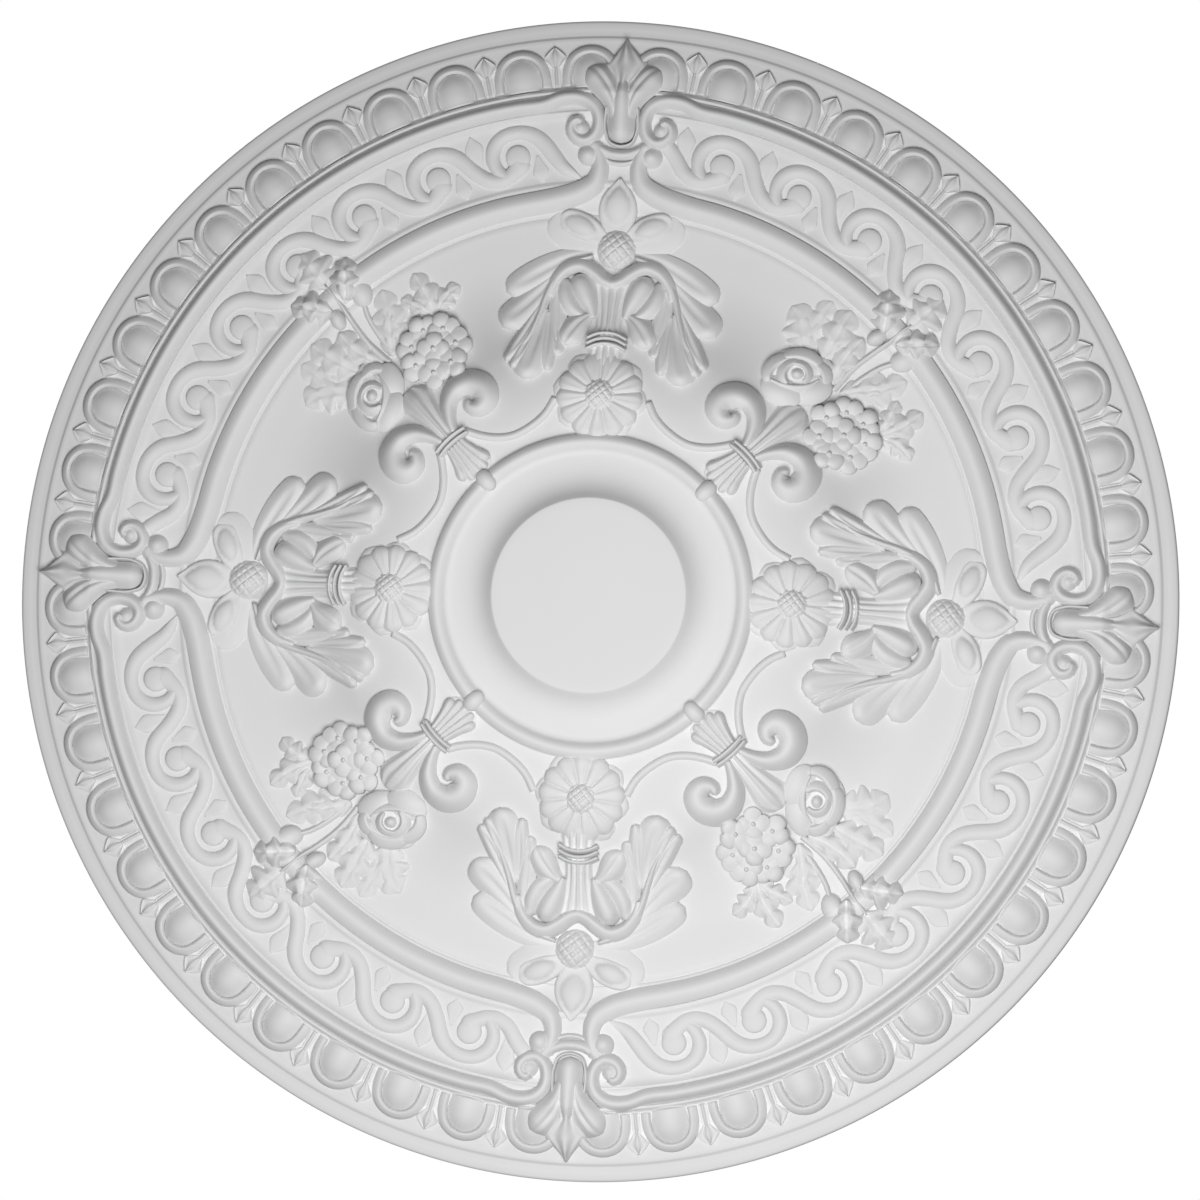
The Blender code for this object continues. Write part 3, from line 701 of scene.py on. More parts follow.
@dataclass
class RingArcs:
    """The outer and the inner ring: four arcs each, that curl into volutes beside every axis."""

    outer_radius: float = 326.1
    inner_radius: float = 262.1
    outer_half: float = 5.6
    inner_half: float = 7.6
    outer_height: float = 9.6
    inner_height: float = 8.6
    outer_start: float = 9.0
    inner_start: float = 11.0

    @staticmethod
    def outer_section(along: Points, side: Points) -> Points:
        """An arch on upright sides."""
        return 0.05 + 0.95 * (1 - side**2) + 0 * along

    @staticmethod
    def inner_section(along: Points, side: Points) -> Points:
        """An arch that falls further on its inner side."""
        return np.where(side < 0, 0.4 + 0.6 * (1 - side**2), 0.1 + 0.9 * (1 - side**2)) + 0 * along

    @staticmethod
    def arc(end: list[tuple[float, ...]], radius: float, half: float, height: float,
            start: float) -> list[tuple[float, ...]]:
        """A path from one volute along the ring to the mirrored volute of the next axis.

        Args:
            end: The volute's points, from its eye to where it joins the ring.
            radius: Middle radius of the ring.
            half: Half width of the ring.
            height: Height of the ring.
            start: Bearing at which the plain arc begins, in degrees.

        Returns:
            The whole path in the frame of the first axis.
        """
        bearings = np.radians(np.arange(start, 90.1 - start, 3.0))
        middle = [(radius * math.sin(a), radius * math.cos(a), half, height) for a in bearings]
        far = [(out, across, *rest) for across, out, *rest in reversed(end)]
        return end + middle + far

    def build(self, carver: Carver) -> None:
        """Lay the arcs and set a ball in the eye of each volute.

        Args:
            carver: Makes the pieces from their patches.
        """
        high, low = self.outer_height, self.inner_height
        outer_end = [
            (25.5, 309.5, 3.4, high), (28.0, 313.0, 3.6, high), (31.6, 311.5, 3.9, high),
            (33.0, 306.6, 4.2, high), (29.4, 301.3, 4.6, high), (22.6, 299.6, 4.9, high),
            (17.2, 303.6, 4.7, high), (14.9, 311.4, 4.5, high), (16.3, 319.2, 4.8, high),
            (21.5, 325.2, 5.2, high), (29.5, 327.9, 5.5, high), (39.4, 327.0, self.outer_half, high),
        ]
        inner_end = [
            (21.0, 295.6, 5.0, low * 0.8), (16.2, 296.4, 4.6, low * 0.85),
            (13.2, 290.0, 4.8, low * 0.92), (12.4, 281.0, 5.6, low), (14.8, 272.8, 6.6, low),
            (23.4, 266.0, 7.4, low), (36.5, 261.0, self.inner_half, low),
        ]
        outer = strip(self.arc(outer_end, self.outer_radius, self.outer_half, high, self.outer_start),
                      self.outer_section, 230, 17, round_start=True, round_end=True)
        inner = strip(self.arc(inner_end, self.inner_radius, self.inner_half, low, self.inner_start),
                      self.inner_section, 210, 17, round_start=True, round_end=True)
        outer_balls = both([dome(26.6, 307.6, (5.8, 5.8, 9.0), rings=10, spokes=28)])
        inner_balls = both([dome(20.6, 290.2, (7.4, 7.4, 10.0), rings=11, spokes=32)])
        angles = Place.AXES.angles()
        carver.piece("outer_ring", repeated([outer, *outer_balls], angles))
        carver.piece("inner_ring", repeated([inner, *inner_balls], angles))


@dataclass
class Fleurs:
    """The fleur of each axis: a diamond leaf, two petals and a tongue over two crescents."""

    tip: float = 367.4
    leaf_half: float = 14.6
    petal_half: float = 10.0
    petal_height: float = 15.0
    rim_height: float = 7.4

    @staticmethod
    def leaf_section(along: Points, side: Points) -> Points:
        """A bulging middle between two turned-back side lobes.

        Args:
            along: Share of the way along the path.
            side: Place across the strip, from -1 to 1.

        Returns:
            The height as a share of the strip's.
        """
        middle = np.exp(-((side / 0.42) ** 2))
        lobes = 0.42 * np.exp(-(((np.abs(side) - 0.74) / 0.2) ** 2))
        rise = np.clip(0.34 + 0.66 * middle + lobes * (1 - along), 0, 1.1)
        return np.clip(1 - side**8, 0, 1) ** 0.5 * rise

    @staticmethod
    def petal_section(along: Points, side: Points) -> Points:
        """A rounded petal with a soft fold nearer its inner side."""
        fold = 0.26 * np.exp(-(((side + 0.25) / 0.14) ** 2)) * np.sin(np.pi * along) ** 0.7
        return crown(along, side) * (1 - fold)

    def build(self, carver: Carver) -> None:
        """Raise the leaf, petals, tongue and crescents on every axis.

        Args:
            carver: Makes the pieces from their patches.
        """
        leaf = strip([(0, 333, 5.5, 14.0), (0, 340, 6.6, 14.0), (0.6, 345, 11.0, 13.2),
                      (0.9, 350, self.leaf_half, 12.0), (0.6, 356, 9.4, 12.0), (0.2, 362, 4.2, 11.4),
                      (0, self.tip, 0.6, 7.0)], self.leaf_section, 34, 25)
        high = self.petal_height
        petal = strip([(3.6, 314, 4.6, 11.0), (6.4, 325, 6.4, 13.4), (11.0, 334.0, 8.8, high),
                       (17.4, 341.6, self.petal_half, high), (24.6, 348.4, 9.0, 12.0)],
                      self.petal_section, 38, 21, round_end=True)
        tongue = strip([(0, 298.4, 8.2, 12.0), (0, 306, 8.8, 14.0), (0, 318, 8.6, high),
                        (0, 328, 7.4, 15.6), (0, 336, 5.0, 14.4), (0, 343, 2.0, 11.0)],
                       crown, 34, 21, round_start=True)
        low = self.rim_height
        rim = strip(balanced([(-10.6, 322, 1.0, 8.6), (-10.2, 306, 1.1, 7.8), (-7.6, 299.4, 1.2, low),
                              (0, 296.6, 1.2, low)]), crown, 40, 9)
        crescent = strip(balanced([(-16.2, 299.6, 0.8, 3.0), (-12.8, 295.0, 2.8, 6.8),
                                   (-6.8, 291.8, 3.4, 7.6), (0, 291.0, 3.5, 7.8)]), crown, 30, 13)
        under = strip(balanced([(-11.6, 289.8, 0.8, 3.0), (-6.5, 286.2, 1.5, 4.4), (0, 285.2, 1.7, 4.8)]),
                      crown, 22, 11)
        fleur = [leaf, tongue, *both([petal])]
        angles = Place.AXES.angles()
        carver.piece("fleurs", repeated(fleur, angles))
        carver.piece("crescents", repeated([rim, crescent, under], angles))


@dataclass
class AxisDrops:
    """Bud flower, berry, calyx with its collar, acanthus leaves and daisy rosette of each axis."""

    rosette_middle: tuple[float, float] = (-1.3, 131.0)
    petal_reach: float = 29.0
    leaf_reach: float = 31.5
    boss_radius: float = 11.0
    petal_count: int = 13
    leaf_count: int = 8
    berry_middle: tuple[float, float] = (1.2, 229.2)
    berry_radius: float = 13.4
    collar_steps: tuple[float, ...] = (0.0, 3.7, 7.4)

    def buds(self) -> list[Patch]:
        """The three-petalled flower behind the berry, with two broad leaves under it.

        Returns:
            The patches of one flower.
        """
        top = strip([(0, 238, 6.0, 6.0), (0.2, 246, 11.0, 7.4), (0.6, 257, 12.6, 8.6), (0.9, 267, 8.4, 8.4),
                     (1.1, 275.5, 0.8, 6.6)], bossed, 30, 21)
        side = strip([(8, 236, 4.6, 7.0), (16, 240.4, 8.0, 9.4), (27, 245, 8.8, 9.2),
                      (38, 247.6, 6.8, 7.6)], bossed, 30, 21, round_end=True)
        leaf = strip([(8, 228, 6.0, 2.6), (20, 234, 12.0, 3.6), (33, 240.6, 11.4, 3.6),
                      (45, 245.6, 8.0, 2.4)], crown, 26, 15, round_end=True)
        return [top, *both([side, leaf])]

    def berries(self) -> list[Patch]:
        """The round berry with crossed grooves."""
        sizes = (self.berry_radius, self.berry_radius, 12.5)
        return [dome(*self.berry_middle, sizes, 1.0, hatched(4.5, 1.5, 40.0), 30, 100)]

    def calyxes(self) -> list[Patch]:
        """Hood, lip, lobes, fluted stem, collar and neck of the calyx.

        Returns:
            The patches of one calyx.
        """
        hood = strip(balanced([(-40.5, 196.0, 3.2, 9.0), (-37.5, 207.0, 4.4, 11.5), (-30.0, 215.4, 5.2, 13.0),
                               (-21.5, 218.0, 5.4, 13.6), (-12.0, 213.6, 5.2, 13.4), (-5.0, 208.6, 4.8, 12.6),
                               (0.0, 207.0, 4.6, 12.2)]), self.hood_section, 80, 17)
        lobe = strip([(23.4, 212.0, 6.0, 12.0), (20.0, 205.0, 8.4, 15.6), (16.0, 197.0, 8.0, 14.6),
                      (12.4, 189.6, 5.6, 11.4), (10.0, 183.0, 2.6, 8.4)], crown, 28, 17, round_start=True)
        curl = strip([(31.6, 209.0, 3.4, 8.0), (30.4, 199.0, 6.4, 12.4), (26.2, 191.0, 6.8, 12.0),
                      (19.6, 185.4, 4.6, 9.0), (13.4, 182.4, 1.2, 5.4)], crown, 26, 17, round_start=True)
        back = strip([(12.0, 185.0, 3.0, 7.6), (18.4, 180.0, 7.4, 11.0), (24.6, 171.6, 9.0, 11.0),
                      (28.4, 163.6, 7.0, 7.6)], creased, 28, 19, round_end=True)
        side = strip([(34.6, 203.0, 3.0, 7.0), (35.0, 191.0, 5.6, 8.4), (33.4, 178.0, 5.8, 7.6),
                      (33.0, 167.0, 3.6, 5.0)], creased, 26, 13)
        throat = strip([(0, 209, 15.0, 6.4), (0, 203, 13.4, 8.4), (0, 196, 11.4, 9.6), (0, 186, 9.4, 9.8),
                        (0, 176, 8.8, 9.6), (0, 168, 9.2, 9.4)], fluted(5, 0.3), 36, 37)
        rings = [
            strip(balanced([(-12.8, 161.6 + step, 1.7, 9.6), (-6.6, 164.5 + step, 1.8, 11.2),
                            (0, 165.5 + step, 1.8, 11.8)]), crown, 24, 11)
            for step in self.collar_steps
        ]
        neck = strip([(0, 150, 11.4, 7.0), (0, 157, 11.2, 8.8), (0, 165, 10.4, 9.4)], fluted(5, 0.34), 14, 37)
        return [throat, neck, hood, *rings, *both([side, back, curl, lobe])]

    @staticmethod
    def hood_section(along: Points, side: Points) -> Points:
        """A fold with a long round outer side and a steep inner one."""
        return np.interp(side, [-1.0, -0.92, -0.7, -0.3, 0.1, 0.4, 0.6, 0.76, 0.9, 1.0],
                         [0.0, 0.34, 0.62, 0.86, 1.0, 0.98, 0.86, 0.7, 0.56, 0.3]) + 0 * along

    def acanthus(self) -> list[Patch]:
        """The leaf of one side: broad creased lobes that spring from a curved main rib.

        Returns:
            The patches of one half leaf, whose mirror image is the other.
        """
        rib = [(14, 224, 1.6, 8.0), (25, 219.6, 2.6, 9.6), (35, 211, 3.0, 10.4), (41.6, 198, 3.0, 10.8),
               (45.6, 184, 2.6, 10.6), (51, 169, 2.2, 9.6), (60, 155, 1.0, 7.0)]
        lobes = [
            [(15, 227, 2.5, 2.4), (30, 222, 6.6, 4.6), (46, 213, 9.4, 6.4), (59, 204.4, 9.4, 7.6),
             (69.6, 197.6, 7.0, 6.6)],
            [(34, 214, 2.6, 4.0), (44, 202, 7.0, 6.0), (55, 190, 9.6, 8.2), (65.4, 179.6, 9.8, 9.4),
             (70.0, 174.0, 7.6, 8.4)],
            [(43, 196, 2.6, 5.0), (49, 181, 4.6, 7.6), (57, 165, 5.2, 9.2), (65.6, 151.0, 3.4, 7.4)],
            [(44, 190, 2.6, 5.0), (49, 174, 4.6, 8.0), (55, 158, 5.2, 9.8), (61.2, 146.4, 3.6, 7.8)],
            [(43, 188, 3.0, 5.0), (45.6, 170, 8.0, 8.2), (49.6, 152, 10.6, 9.6), (52.4, 139.6, 9.4, 9.0)],
            [(40, 186, 3.0, 4.0), (38.6, 169, 5.6, 7.4), (38.0, 154, 5.2, 7.6), (36.4, 145.6, 2.6, 5.4)],
            [(36, 182, 3.0, 4.0), (33.6, 170, 5.4, 6.8), (30.8, 157.0, 3.2, 5.4)],
        ]
        order = [0, 1, 6, 5, 4, 2, 3]
        leaves = [strip(lobes[index], self.lobe_section, 30, 17, round_end=True) for index in order]
        return [*leaves, strip(rib, crown, 40, 11)]

    @staticmethod
    def lobe_section(along: Points, side: Points) -> Points:
        """An arch with a hollow vein that widens from its foot, and a rolled tip."""
        vein = 0.42 * np.exp(-((side / 0.2) ** 2)) * np.sin(np.pi * np.clip(along * 1.15, 0, 1)) ** 0.7
        return crown(along, side) * (1 - vein)

    def rosettes(self) -> list[Patch]:
        """Thirteen round-ended petals over a row of broad leaves, about a boss with crossed grooves.

        Returns:
            The patches of one rosette.
        """
        middle, boss = self.rosette_middle, self.boss_radius
        patches = []
        for count, shift, reach_out, rows in (
            (self.leaf_count, 0.2, self.leaf_reach,
             ((0.3, 3.0, 3.0, 0.0), (0.6, 7.6, 3.6, 0.0), (0.85, 8.4, 3.4, 0.0), (1.0, 5.0, 2.4, 0.0))),
            (self.petal_count, 0.5, self.petal_reach,
             ((0.2, 1.6, 4.4, 3.4), (0.5, 4.4, 5.2, 3.4), (0.82, 6.7, 5.0, 2.6), (1.0, 5.6, 4.0, 1.4))),
        ):
            for index in range(count):
                bearing = 2 * math.pi * (index + shift) / count
                path = [
                    (middle[0] + reach_out * share * math.sin(bearing),
                     middle[1] + reach_out * share * math.cos(bearing), half, height, lift)
                    for share, half, height, lift in rows
                ]
                patches.append(strip(path, creased, 16, 13, round_end=True))
        patches.append(dome(*middle, (boss, boss, 9.0), 4.5, hatched(3.6, 1.3, 40.0), 26, 84))
        return patches

    def build(self, carver: Carver) -> None:
        """Carve the drop on every axis.

        Args:
            carver: Makes the pieces from their patches.
        """
        angles = Place.AXES.angles()
        carver.piece("bud_flowers", repeated(self.buds(), angles))
        carver.piece("berries", repeated(self.berries(), angles))
        carver.piece("calyxes", repeated(self.calyxes(), angles))
        carver.piece("acanthus_leaves", repeated(both(self.acanthus()), angles))
        carver.piece("rosettes", repeated(self.rosettes(), angles))


@dataclass
class DiagonalSprays:
    """Knot with two hooks, sheath, rose, florets, leaves, palmette and straps of each diagonal."""

    rose_middle: tuple[float, float] = (-18.8, 194.6)
    rose_sizes: tuple[float, float, float] = (26.0, 19.4, 6.2)
    cluster_middle: tuple[float, float] = (30.2, 191.5)
    cluster_sizes: tuple[float, float, float] = (20.5, 19.5, 9.0)
    floret_radius: float = 11.2
    florets_round: int = 7
    knot_steps: tuple[float, ...] = (0.0, 3.6)

    def knots(self) -> list[Patch]:
        """The knot, its two hook volutes and the straps that run from it to the rosettes.

        Returns:
            The patches of one knot.
        """
        turns = [
            strip(balanced([(-12.2, 133.6 + step, 1.6, 9.0), (-6, 134.6 + step, 1.9, 10.4),
                            (0, 134.9 + step, 2.0, 10.8)]), crown, 20, 9)
            for step in self.knot_steps
        ]
        hook = strip([(5.0, 140.0, 3.2, 8.0), (9.0, 149.0, 4.4, 10.0), (15.6, 157.6, 6.2, 12.0),
                      (25.4, 161.4, 7.8, 13.0), (34.6, 157.8, 8.8, 13.4), (38.0, 149.6, 9.2, 12.6),
                      (34.6, 142.6, 8.8, 11.4), (27.6, 141.6, 6.8, 10.4), (23.8, 146.4, 4.4, 9.6),
                      (26.0, 150.6, 2.4, 9.0)], crown, 64, 19, round_end=True)
        strap = strip([(11.0, 135.6, 2.6, 4.4), (15.4, 128.0, 2.6, 4.0), (22.0, 119.6, 2.6, 3.6),
                       (31.0, 112.6, 2.6, 3.4), (44.0, 108.8, 2.6, 3.4), (58.0, 108.6, 2.6, 3.4),
                       (69.0, 112.0, 2.6, 3.4)], crown, 44, 11)
        return [*turns, *both([hook, strap])]

    def sheaths(self) -> list[Patch]:
        """The fluted sheath above the knot and the ribbed palmette below it, with its point.

        Returns:
            The patches of one sheath and palmette.
        """
        sheath = strip([(0, 138, 5.0, 8.0), (0, 152, 6.6, 9.0), (0, 166, 10.0, 10.0), (0, 177, 12.6, 10.0),
                        (0, 184, 12.6, 8.0)], fluted(3, 0.4), 34, 25, round_end=True)
        ribs = []
        for reach, half, end in ((0.0, 3.2, 103.5), (5.4, 3.0, 106.0), (10.6, 2.8, 110.0)):
            ribs.append(strip([(reach * 0.5, 133.0, half * 0.7, 8.0), (reach * 0.72, 122.0, half, 7.8),
                               (reach, (end + 116) / 2, half * 1.15, 7.0),
                               (reach * 1.12, end + 1, half * 0.7, 5.0)], crown, 22, 11, round_end=True))
        web = strip([(0, 133, 6.0, 3.4), (0, 120, 8.0, 3.4), (0, 108, 9.5, 2.6), (0, 104, 2.0, 1.0)],
                    crown, 16, 13)
        point = dome(0, 101.6, (5.8, 7.6, 6.0), 5.0, None, 10, 28, 0.6)
        return [sheath, web, ribs[0], *both(ribs[1:]), point]

    def roses(self) -> list[Patch]:
        """An open rose: an oval of petals, rolled ones behind its bud, and a lip over two in front.

        Returns:
            The patches of one rose.
        """
        across, out = self.rose_middle
        slant = -math.pi / 4
        patches = [
            dome(across, out, self.rose_sizes, 0.4, None, 14, 90, 0.5, slant, 5),
            dome(*self.in_rose(0.0, 1.6), (20.0, 15.0, 5.6), 5.2, None, 14, 80, 0.5, slant, 3),
            dome(*self.in_rose(-9.0, -9.6), (14.6, 10.0, 6.6), 4.4, None, 14, 44, 0.8, slant + 0.35),
            dome(*self.in_rose(9.6, -8.8), (14.0, 9.6, 6.8), 4.6, None, 14, 44, 0.8, slant - 0.3),
        ]
        for wide, long, middle, half, height, first, last in (
            (19.0, 13.0, 0.4, 4.4, 12.4, -112, -6), (17.6, 14.6, 0.6, 4.4, 13.0, -34, 62),
            (19.4, 12.4, 0.2, 4.0, 12.8, 36, 112), (9.4, 8.8, 1.4, 4.0, 15.6, -150, 20),
            (8.4, 7.6, 1.8, 3.2, 16.4, -30, 150),
        ):
            angles = np.radians(np.linspace(first, last, 9))
            width = np.sin(np.linspace(0.3, np.pi - 0.3, 9)) ** 0.5
            path = [
                (*self.in_rose(wide * math.sin(a), middle + long * math.cos(a)), half * w,
                 height * (0.72 + 0.28 * w))
                for a, w in zip(angles, width)
            ]
            patches.append(strip(path, self.petal_section, 34, 15, round_start=True, round_end=True))
        lip = [(15.0, -1.6, 1.4, 11.0), (9.4, -6.2, 2.8, 13.2), (0.6, -8.0, 3.2, 13.6),
               (-9.0, -6.8, 2.8, 13.0), (-16.5, -3.4, 1.4, 10.6)]
        patches.append(strip([(*self.in_rose(x, y), half, height) for x, y, half, height in lip],
                             self.petal_section, 30, 15))
        patches.append(dome(*self.in_rose(0.6, 1.8), (5.4, 4.8, 16.2), 0.0, None, 12, 28, 0.4, slant))
        return patches

    def in_rose(self, along: float, above: float) -> tuple[float, float]:
        """Place of a point of the rose, whose long axis is turned 45 degrees."""
        across, out = self.rose_middle
        return across + (along - above) * math.sqrt(0.5), out + (along + above) * math.sqrt(0.5)

    @staticmethod
    def petal_section(along: Points, side: Points) -> Points:
        """A petal that rises from its outer edge to a rolled inner one."""
        return np.interp(
            side, [-1.0, -0.8, -0.4, 0.1, 0.5, 0.75, 1.0], [0.5, 0.66, 0.82, 0.94, 1.0, 0.9, 0.55]
        ) + 0 * along

    def florets(self) -> list[Patch]:
        """A cluster of four-petalled florets, each with a dot in its middle.

        Returns:
            The patches of one cluster.
        """
        across, out = self.cluster_middle
        count, wide = self.florets_round, self.floret_radius
        patches = [dome(across, out, self.cluster_sizes, 0.0, None, 14, 44, 0.4)]
        spots = [(0.8, 0.6, 5.0)] + [
            (15.4 * math.sin(a), 14.8 * math.cos(a), 0.8 + 1.4 * (index % 2))
            for index, a in enumerate(np.radians(np.arange(count) * 360 / count + 12))
        ]
        for number, (x, y, lift) in enumerate(spots):
            patches.append(dome(across + x, out + y, (wide, wide, 5.2), 5.2 + lift,
                                self.cupped(1.3 * number), 12, 60, 0.55, 0.6 * number, 4))
            patches.append(dome(across + x, out + y, (1.8, 1.8, 2.8), 8.2 + lift, None, 6, 12))
        return patches

    @staticmethod
    def cupped(lean: float) -> Texture:
        """A floret's tilt and cup: 0.2 of the way along its lean, less 2.2 exp(-(reach / 4.4)^2).

        Args:
            lean: Direction of the tilt in radians.

        Returns:
            The height added for x and y from the floret's middle.
        """
        return lambda x, y: (
            0.2 * (x * math.cos(lean) + y * math.sin(lean)) - 2.2 * np.exp(-(x**2 + y**2) / 19.0)
        )

    def leaves(self) -> list[Patch]:
        """Leaves, buds and the stem that climbs over the inner ring into the scroll band.

        Returns:
            The patches of one spray's leaves.
        """
        blades = [
            [(-17, 216, 6.6, 6.5), (-21, 228, 13.64, 8.32), (-25, 240, 11.44, 7.28), (-28, 250, 4.4, 3.38)],
            [(-28, 208, 6.6, 4.42), (-38, 217, 14.3, 5.72), (-48, 222, 11, 4.68), (-57, 223, 4.4, 2.34)],
            [(-30, 214, 5.5, 3.38), (-36, 226, 12.1, 4.68), (-39, 236, 8.8, 3.9), (-41, 245, 3.52, 2.08)],
            [(16, 212, 5.5, 4.68), (21, 224, 12.1, 5.98), (26, 235, 10.34, 5.2), (31, 246, 3.52, 2.6)],
            [(-1, 208, 4.4, 7.02), (-6, 220, 9.9, 8.06), (-8.6, 231, 10.34, 7.8), (-9, 244, 4.4, 5.2)],
            [(8, 208, 4.4, 5.72), (15, 219, 9.24, 7.02), (22, 228, 9.24, 6.5), (31, 234, 4.4, 3.9)],
            [(45, 208, 3.3, 5.2), (50, 220, 9.24, 7.8), (52, 230, 8.36, 6.5), (53, 240, 3.52, 3.38)],
            [(47, 209, 3.3, 5.2), (56, 213, 8.14, 7.02), (64, 214, 6.6, 5.72), (71, 213, 3.52, 3.12)],
            [(44, 210, 3.3, 5.2), (42, 219, 7.26, 7.02), (39, 226, 6.16, 5.72), (36, 233, 3.52, 3.12)],
            [(-3, 256, 4.4, 13.78), (-9, 264, 12.76, 16.9), (-15, 271, 10.34, 14.3), (-21, 278, 4.4, 6.5)],
            [(9, 256, 4.4, 13.78), (16, 264, 12.1, 16.9), (22, 271, 9.9, 14.3), (28, 277, 4.4, 6.5)],
            [(5.6, 270, 4.4, 9.1), (6.2, 280, 14.3, 10.4), (6.6, 289, 12.76, 9.1), (7, 299, 5.28, 3.9)],
        ]
        patches = [strip(path, self.veined, 40, 17, round_end=True, lobes=3) for path in blades]
        stem = strip([(3, 206, 2.2, 5.0), (1, 226, 2.0, 5.2), (2.6, 244, 1.8, 5.6), (4.5, 256, 1.6, 9.4),
                      (5.0, 266, 1.4, 11.0), (5.6, 272, 1.0, 9.0)], crown, 32, 9)
        branch = strip([(9, 208, 2.4, 4.4), (10, 226, 2.0, 4.6), (13, 240, 1.8, 5.0), (18, 250, 1.6, 6.4)],
                       crown, 26, 9)
        buds = [
            dome(-3.6, 250.4, (5.0, 7.4, 10.0), 0.6, None, 10, 26, 0.5, 0.3),
            dome(19.4, 252.6, (7.0, 9.0, 9.0), 0.6, None, 10, 26, 0.5, 0.5),
        ]
        return [*patches, stem, branch, *buds]

    @staticmethod
    def veined(along: Points, side: Points) -> Points:
        """A leaf with a sunk midrib, three pairs of slanting veins and a swelling between them.

        Args:
            along: Share of the way along the path.
            side: Place across the strip, from -1 to 1.

        Returns:
            The height as a share of the strip's.
        """
        rib = 0.4 * np.exp(-((side / 0.08) ** 2))
        slant = np.sin(np.pi * (3.0 * along - 0.9 * np.abs(side) + 0.25)) ** 2
        swell = 0.34 * slant * np.abs(side) ** 0.7
        return (crown(along, side) - rib - swell) * (0.8 + 0.2 * np.sin(np.pi * along))

    def build(self, carver: Carver) -> None:
        """Carve the spray on every diagonal.

        Args:
            carver: Makes the pieces from their patches.
        """
        angles = Place.DIAGONALS.angles()
        carver.piece("knots_and_straps", repeated(self.knots(), angles))
        carver.piece("sheaths_and_palmettes", repeated(self.sheaths(), angles))
        carver.piece("roses", repeated(self.roses(), angles))
        carver.piece("floret_clusters", repeated(self.florets(), angles))
        carver.piece("spray_leaves", repeated(self.leaves(), angles))


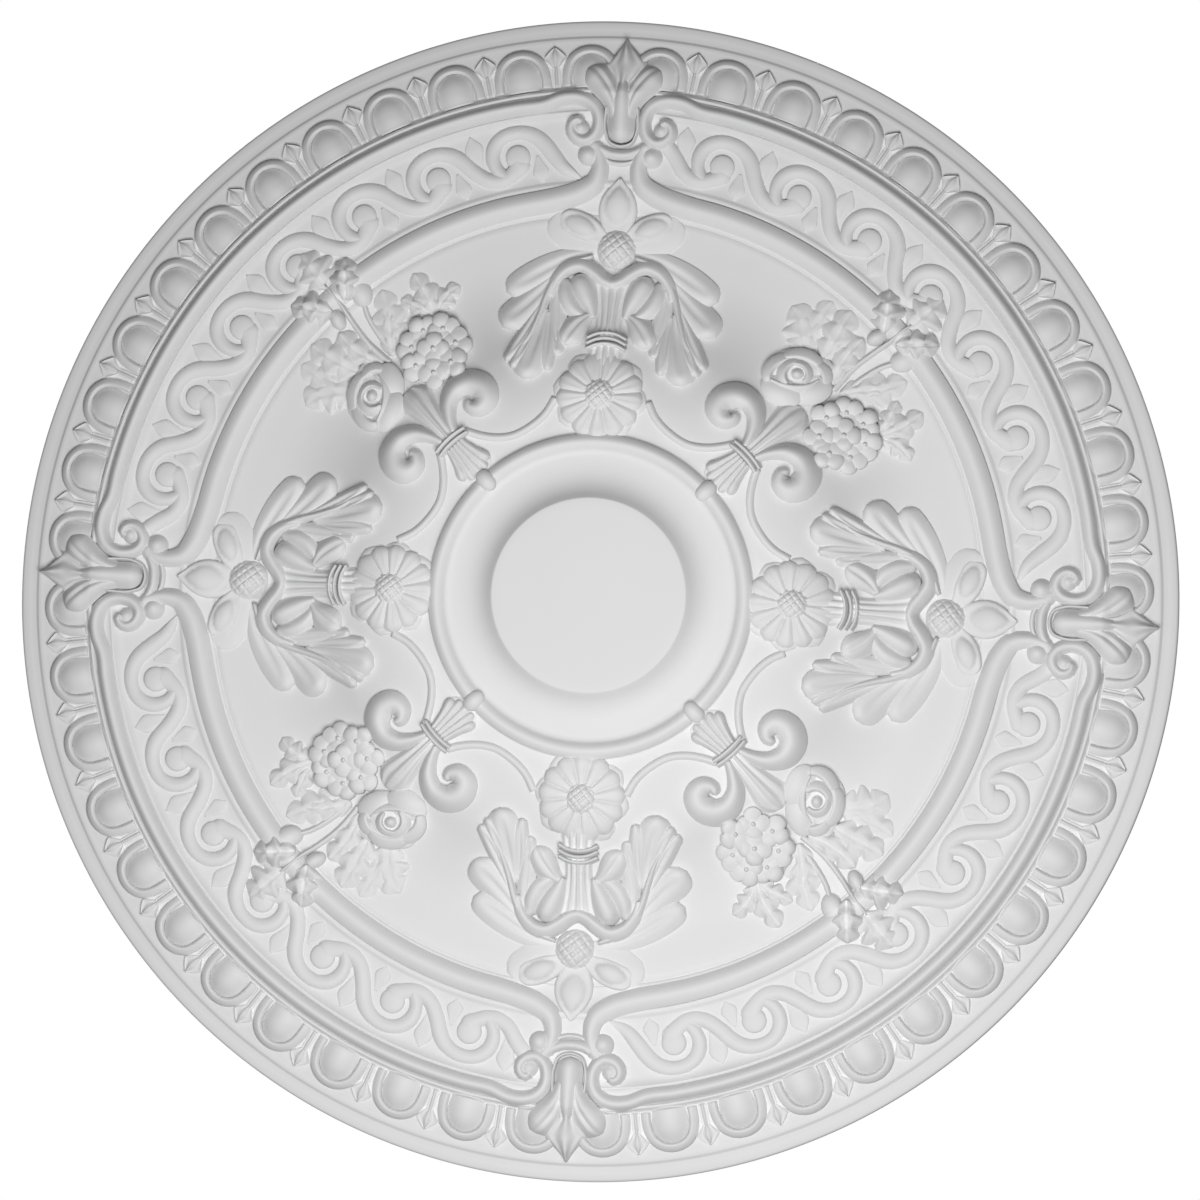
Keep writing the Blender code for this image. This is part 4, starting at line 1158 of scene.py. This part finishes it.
@dataclass
class Studio:
    """Camera, soft lights, white surroundings and the pale floor far below.

    The key light's place is to the right, up and towards the camera in the photograph's own axes.
    """

    distance: float = 7.0
    lean_right: float = 0.0943
    lean_down: float = 0.0506
    roll: float = 3.15
    aim: tuple[float, float] = (0.00105, 0.00037)
    frame_width: float = 0.78513
    floor_depth: float = 8.5
    floor_reach: float = 60.0
    floor_colour: tuple[float, float, float, float] = (0.85, 0.85, 0.84, 1.0)
    floor_bounce: tuple[float, float, float, float] = (0.20, 0.20, 0.20, 1.0)
    ambient: float = 0.08
    sensor: float = 36.0
    view_reach: float = 200.0
    key_place: tuple[float, float, float] = (0.12, -0.36, 1.4)
    key_size: float = 0.6
    key_power: float = 17.0
    sun_from: tuple[float, float, float] = (0.8, -1.0, 3.0)
    sun_power: float = 1.25
    sun_angle: float = 15.0

    def axes(self) -> tuple[Points, Points, Points]:
        """Right, up and towards the camera, for the photograph's picture plane in world axes.

        Returns:
            The three directions.
        """
        roll = math.radians(self.roll)
        right = np.array([math.cos(roll), -math.sin(roll), 0.0])
        up = np.array([-math.sin(roll), -math.cos(roll), 0.0])
        return right, up, np.array([0.0, 0.0, -1.0])

    @staticmethod
    def aimed(place: Points, away: Points, up: Points) -> Matrix:
        """A placement whose own Z axis points along away and whose Y axis leans to up.

        Args:
            place: Where it stands, in metres.
            away: The direction that its back faces.
            up: The direction that its Y axis leans to.

        Returns:
            The world matrix.
        """
        back = away / np.linalg.norm(away)
        side = np.cross(up, back)
        side /= np.linalg.norm(side)
        matrix = np.eye(4)
        matrix[:3] = np.stack([side, np.cross(back, side), back, place], axis=1)
        return Matrix(matrix.tolist())

    def camera(self) -> None:
        """Set the camera below the rose, leaning to the lower right of the picture."""
        right, up, towards = self.axes()
        away = towards + self.lean_right * right - self.lean_down * up
        away /= np.linalg.norm(away)
        side = np.cross(up, away)
        side /= np.linalg.norm(side)
        place = away * self.distance + self.aim[0] * side + self.aim[1] * np.cross(away, side)
        data = bpy.data.cameras.new("camera")
        camera = bpy.data.objects.new("camera", data)
        bpy.context.scene.collection.objects.link(camera)
        camera.matrix_world = self.aimed(place, away, up)
        data.sensor_width = self.sensor
        data.lens = self.sensor * self.distance / self.frame_width
        data.clip_end = self.view_reach
        bpy.context.scene.camera = camera

    def light(self, name: str, place: Points, size: float, power: float) -> None:
        """Aim a square soft light at the rose.

        Args:
            name: The light's name.
            place: Its place in metres.
            size: Its side in metres.
            power: Its power in watts.
        """
        data = bpy.data.lights.new(name, "AREA")
        data.shape = "SQUARE"
        data.size = size
        data.energy = power
        thing = bpy.data.objects.new(name, data)
        bpy.context.scene.collection.objects.link(thing)
        thing.matrix_world = self.aimed(place, place, np.array([0.1, 1.0, 0.2]))
        thing.visible_camera = False

    @staticmethod
    def shaded(nodes: bpy.types.Nodes, links: bpy.types.NodeLinks, seen: bpy.types.NodeSocket,
               lit: bpy.types.NodeSocket, output: bpy.types.NodeSocket) -> None:
        """Join two shaders: one as the camera sees it, and one for the light that it sends on.

        Args:
            nodes: The nodes of the material or the world.
            links: Its links.
            seen: The shader for rays from the camera.
            lit: The shader for every other ray.
            output: The socket that the result goes into.
        """
        path = nodes.new("ShaderNodeLightPath")
        mix = nodes.new("ShaderNodeMixShader")
        links.new(path.outputs["Is Camera Ray"], mix.inputs["Fac"])
        links.new(lit, mix.inputs[1])
        links.new(seen, mix.inputs[2])
        links.new(mix.outputs["Shader"], output)

    def surroundings(self) -> None:
        """Plain white all round that lights little, and a pale floor far below."""
        world = bpy.data.worlds.new("surroundings")
        bpy.context.scene.world = world
        world.use_nodes = True
        nodes, links = world.node_tree.nodes, world.node_tree.links
        tones = []
        for strength in (1.0, self.ambient):
            tone = nodes.new("ShaderNodeBackground")
            tone.inputs["Color"].default_value = (1.0, 1.0, 1.0, 1.0)
            tone.inputs["Strength"].default_value = strength
            tones.append(tone.outputs["Background"])
        self.shaded(nodes, links, *tones, nodes["World Output"].inputs["Surface"])
        reach = self.floor_reach
        mesh = bpy.data.meshes.new("floor")
        corners = [(-reach, -reach), (reach, -reach), (reach, reach), (-reach, reach)]
        mesh.from_pydata([(x, y, -self.floor_depth) for x, y in corners], [], [(0, 1, 2, 3)])
        pale = bpy.data.materials.new("pale_floor")
        pale.use_nodes = True
        nodes, links = pale.node_tree.nodes, pale.node_tree.links
        tones = []
        for colour in (self.floor_colour, self.floor_bounce):
            tone = nodes.new("ShaderNodeBsdfDiffuse")
            tone.inputs["Color"].default_value = colour
            tones.append(tone.outputs["BSDF"])
        self.shaded(nodes, links, *tones, nodes["Material Output"].inputs["Surface"])
        mesh.materials.append(pale)
        floor = bpy.data.objects.new("floor", mesh)
        bpy.context.scene.collection.objects.link(floor)

    def build(self) -> None:
        """Set up the camera, the lights and the surroundings."""
        right, up, towards = self.axes()
        self.camera()
        aside, above, near = self.key_place
        self.light("key", towards * near + up * above + right * aside, self.key_size, self.key_power)
        sun = bpy.data.lights.new("overhead", "SUN")
        sun.energy = self.sun_power
        sun.angle = math.radians(self.sun_angle)
        overhead = bpy.data.objects.new("overhead", sun)
        bpy.context.scene.collection.objects.link(overhead)
        overhead.matrix_world = self.aimed(np.array(self.sun_from), np.array(self.sun_from), up)
        self.surroundings()
        bpy.context.scene.view_settings.view_transform = "Standard"


def main() -> None:
    """Build the rose from its sub-assemblies, then the studio, and report each piece."""
    logging.basicConfig(level=logging.INFO, format="%(name)s: %(message)s")
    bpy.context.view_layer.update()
    carver = Carver(PrimedFinish().material())
    for assembly in (TurnedPlate(), EggAndDart(), RunningScrolls(), RingArcs(), Fleurs(), AxisDrops(),
                     DiagonalSprays()):
        assembly.build(carver)
    Studio().build()
    log.info("%d pieces", len(carver.made))


if __name__ == "__main__":
    main()
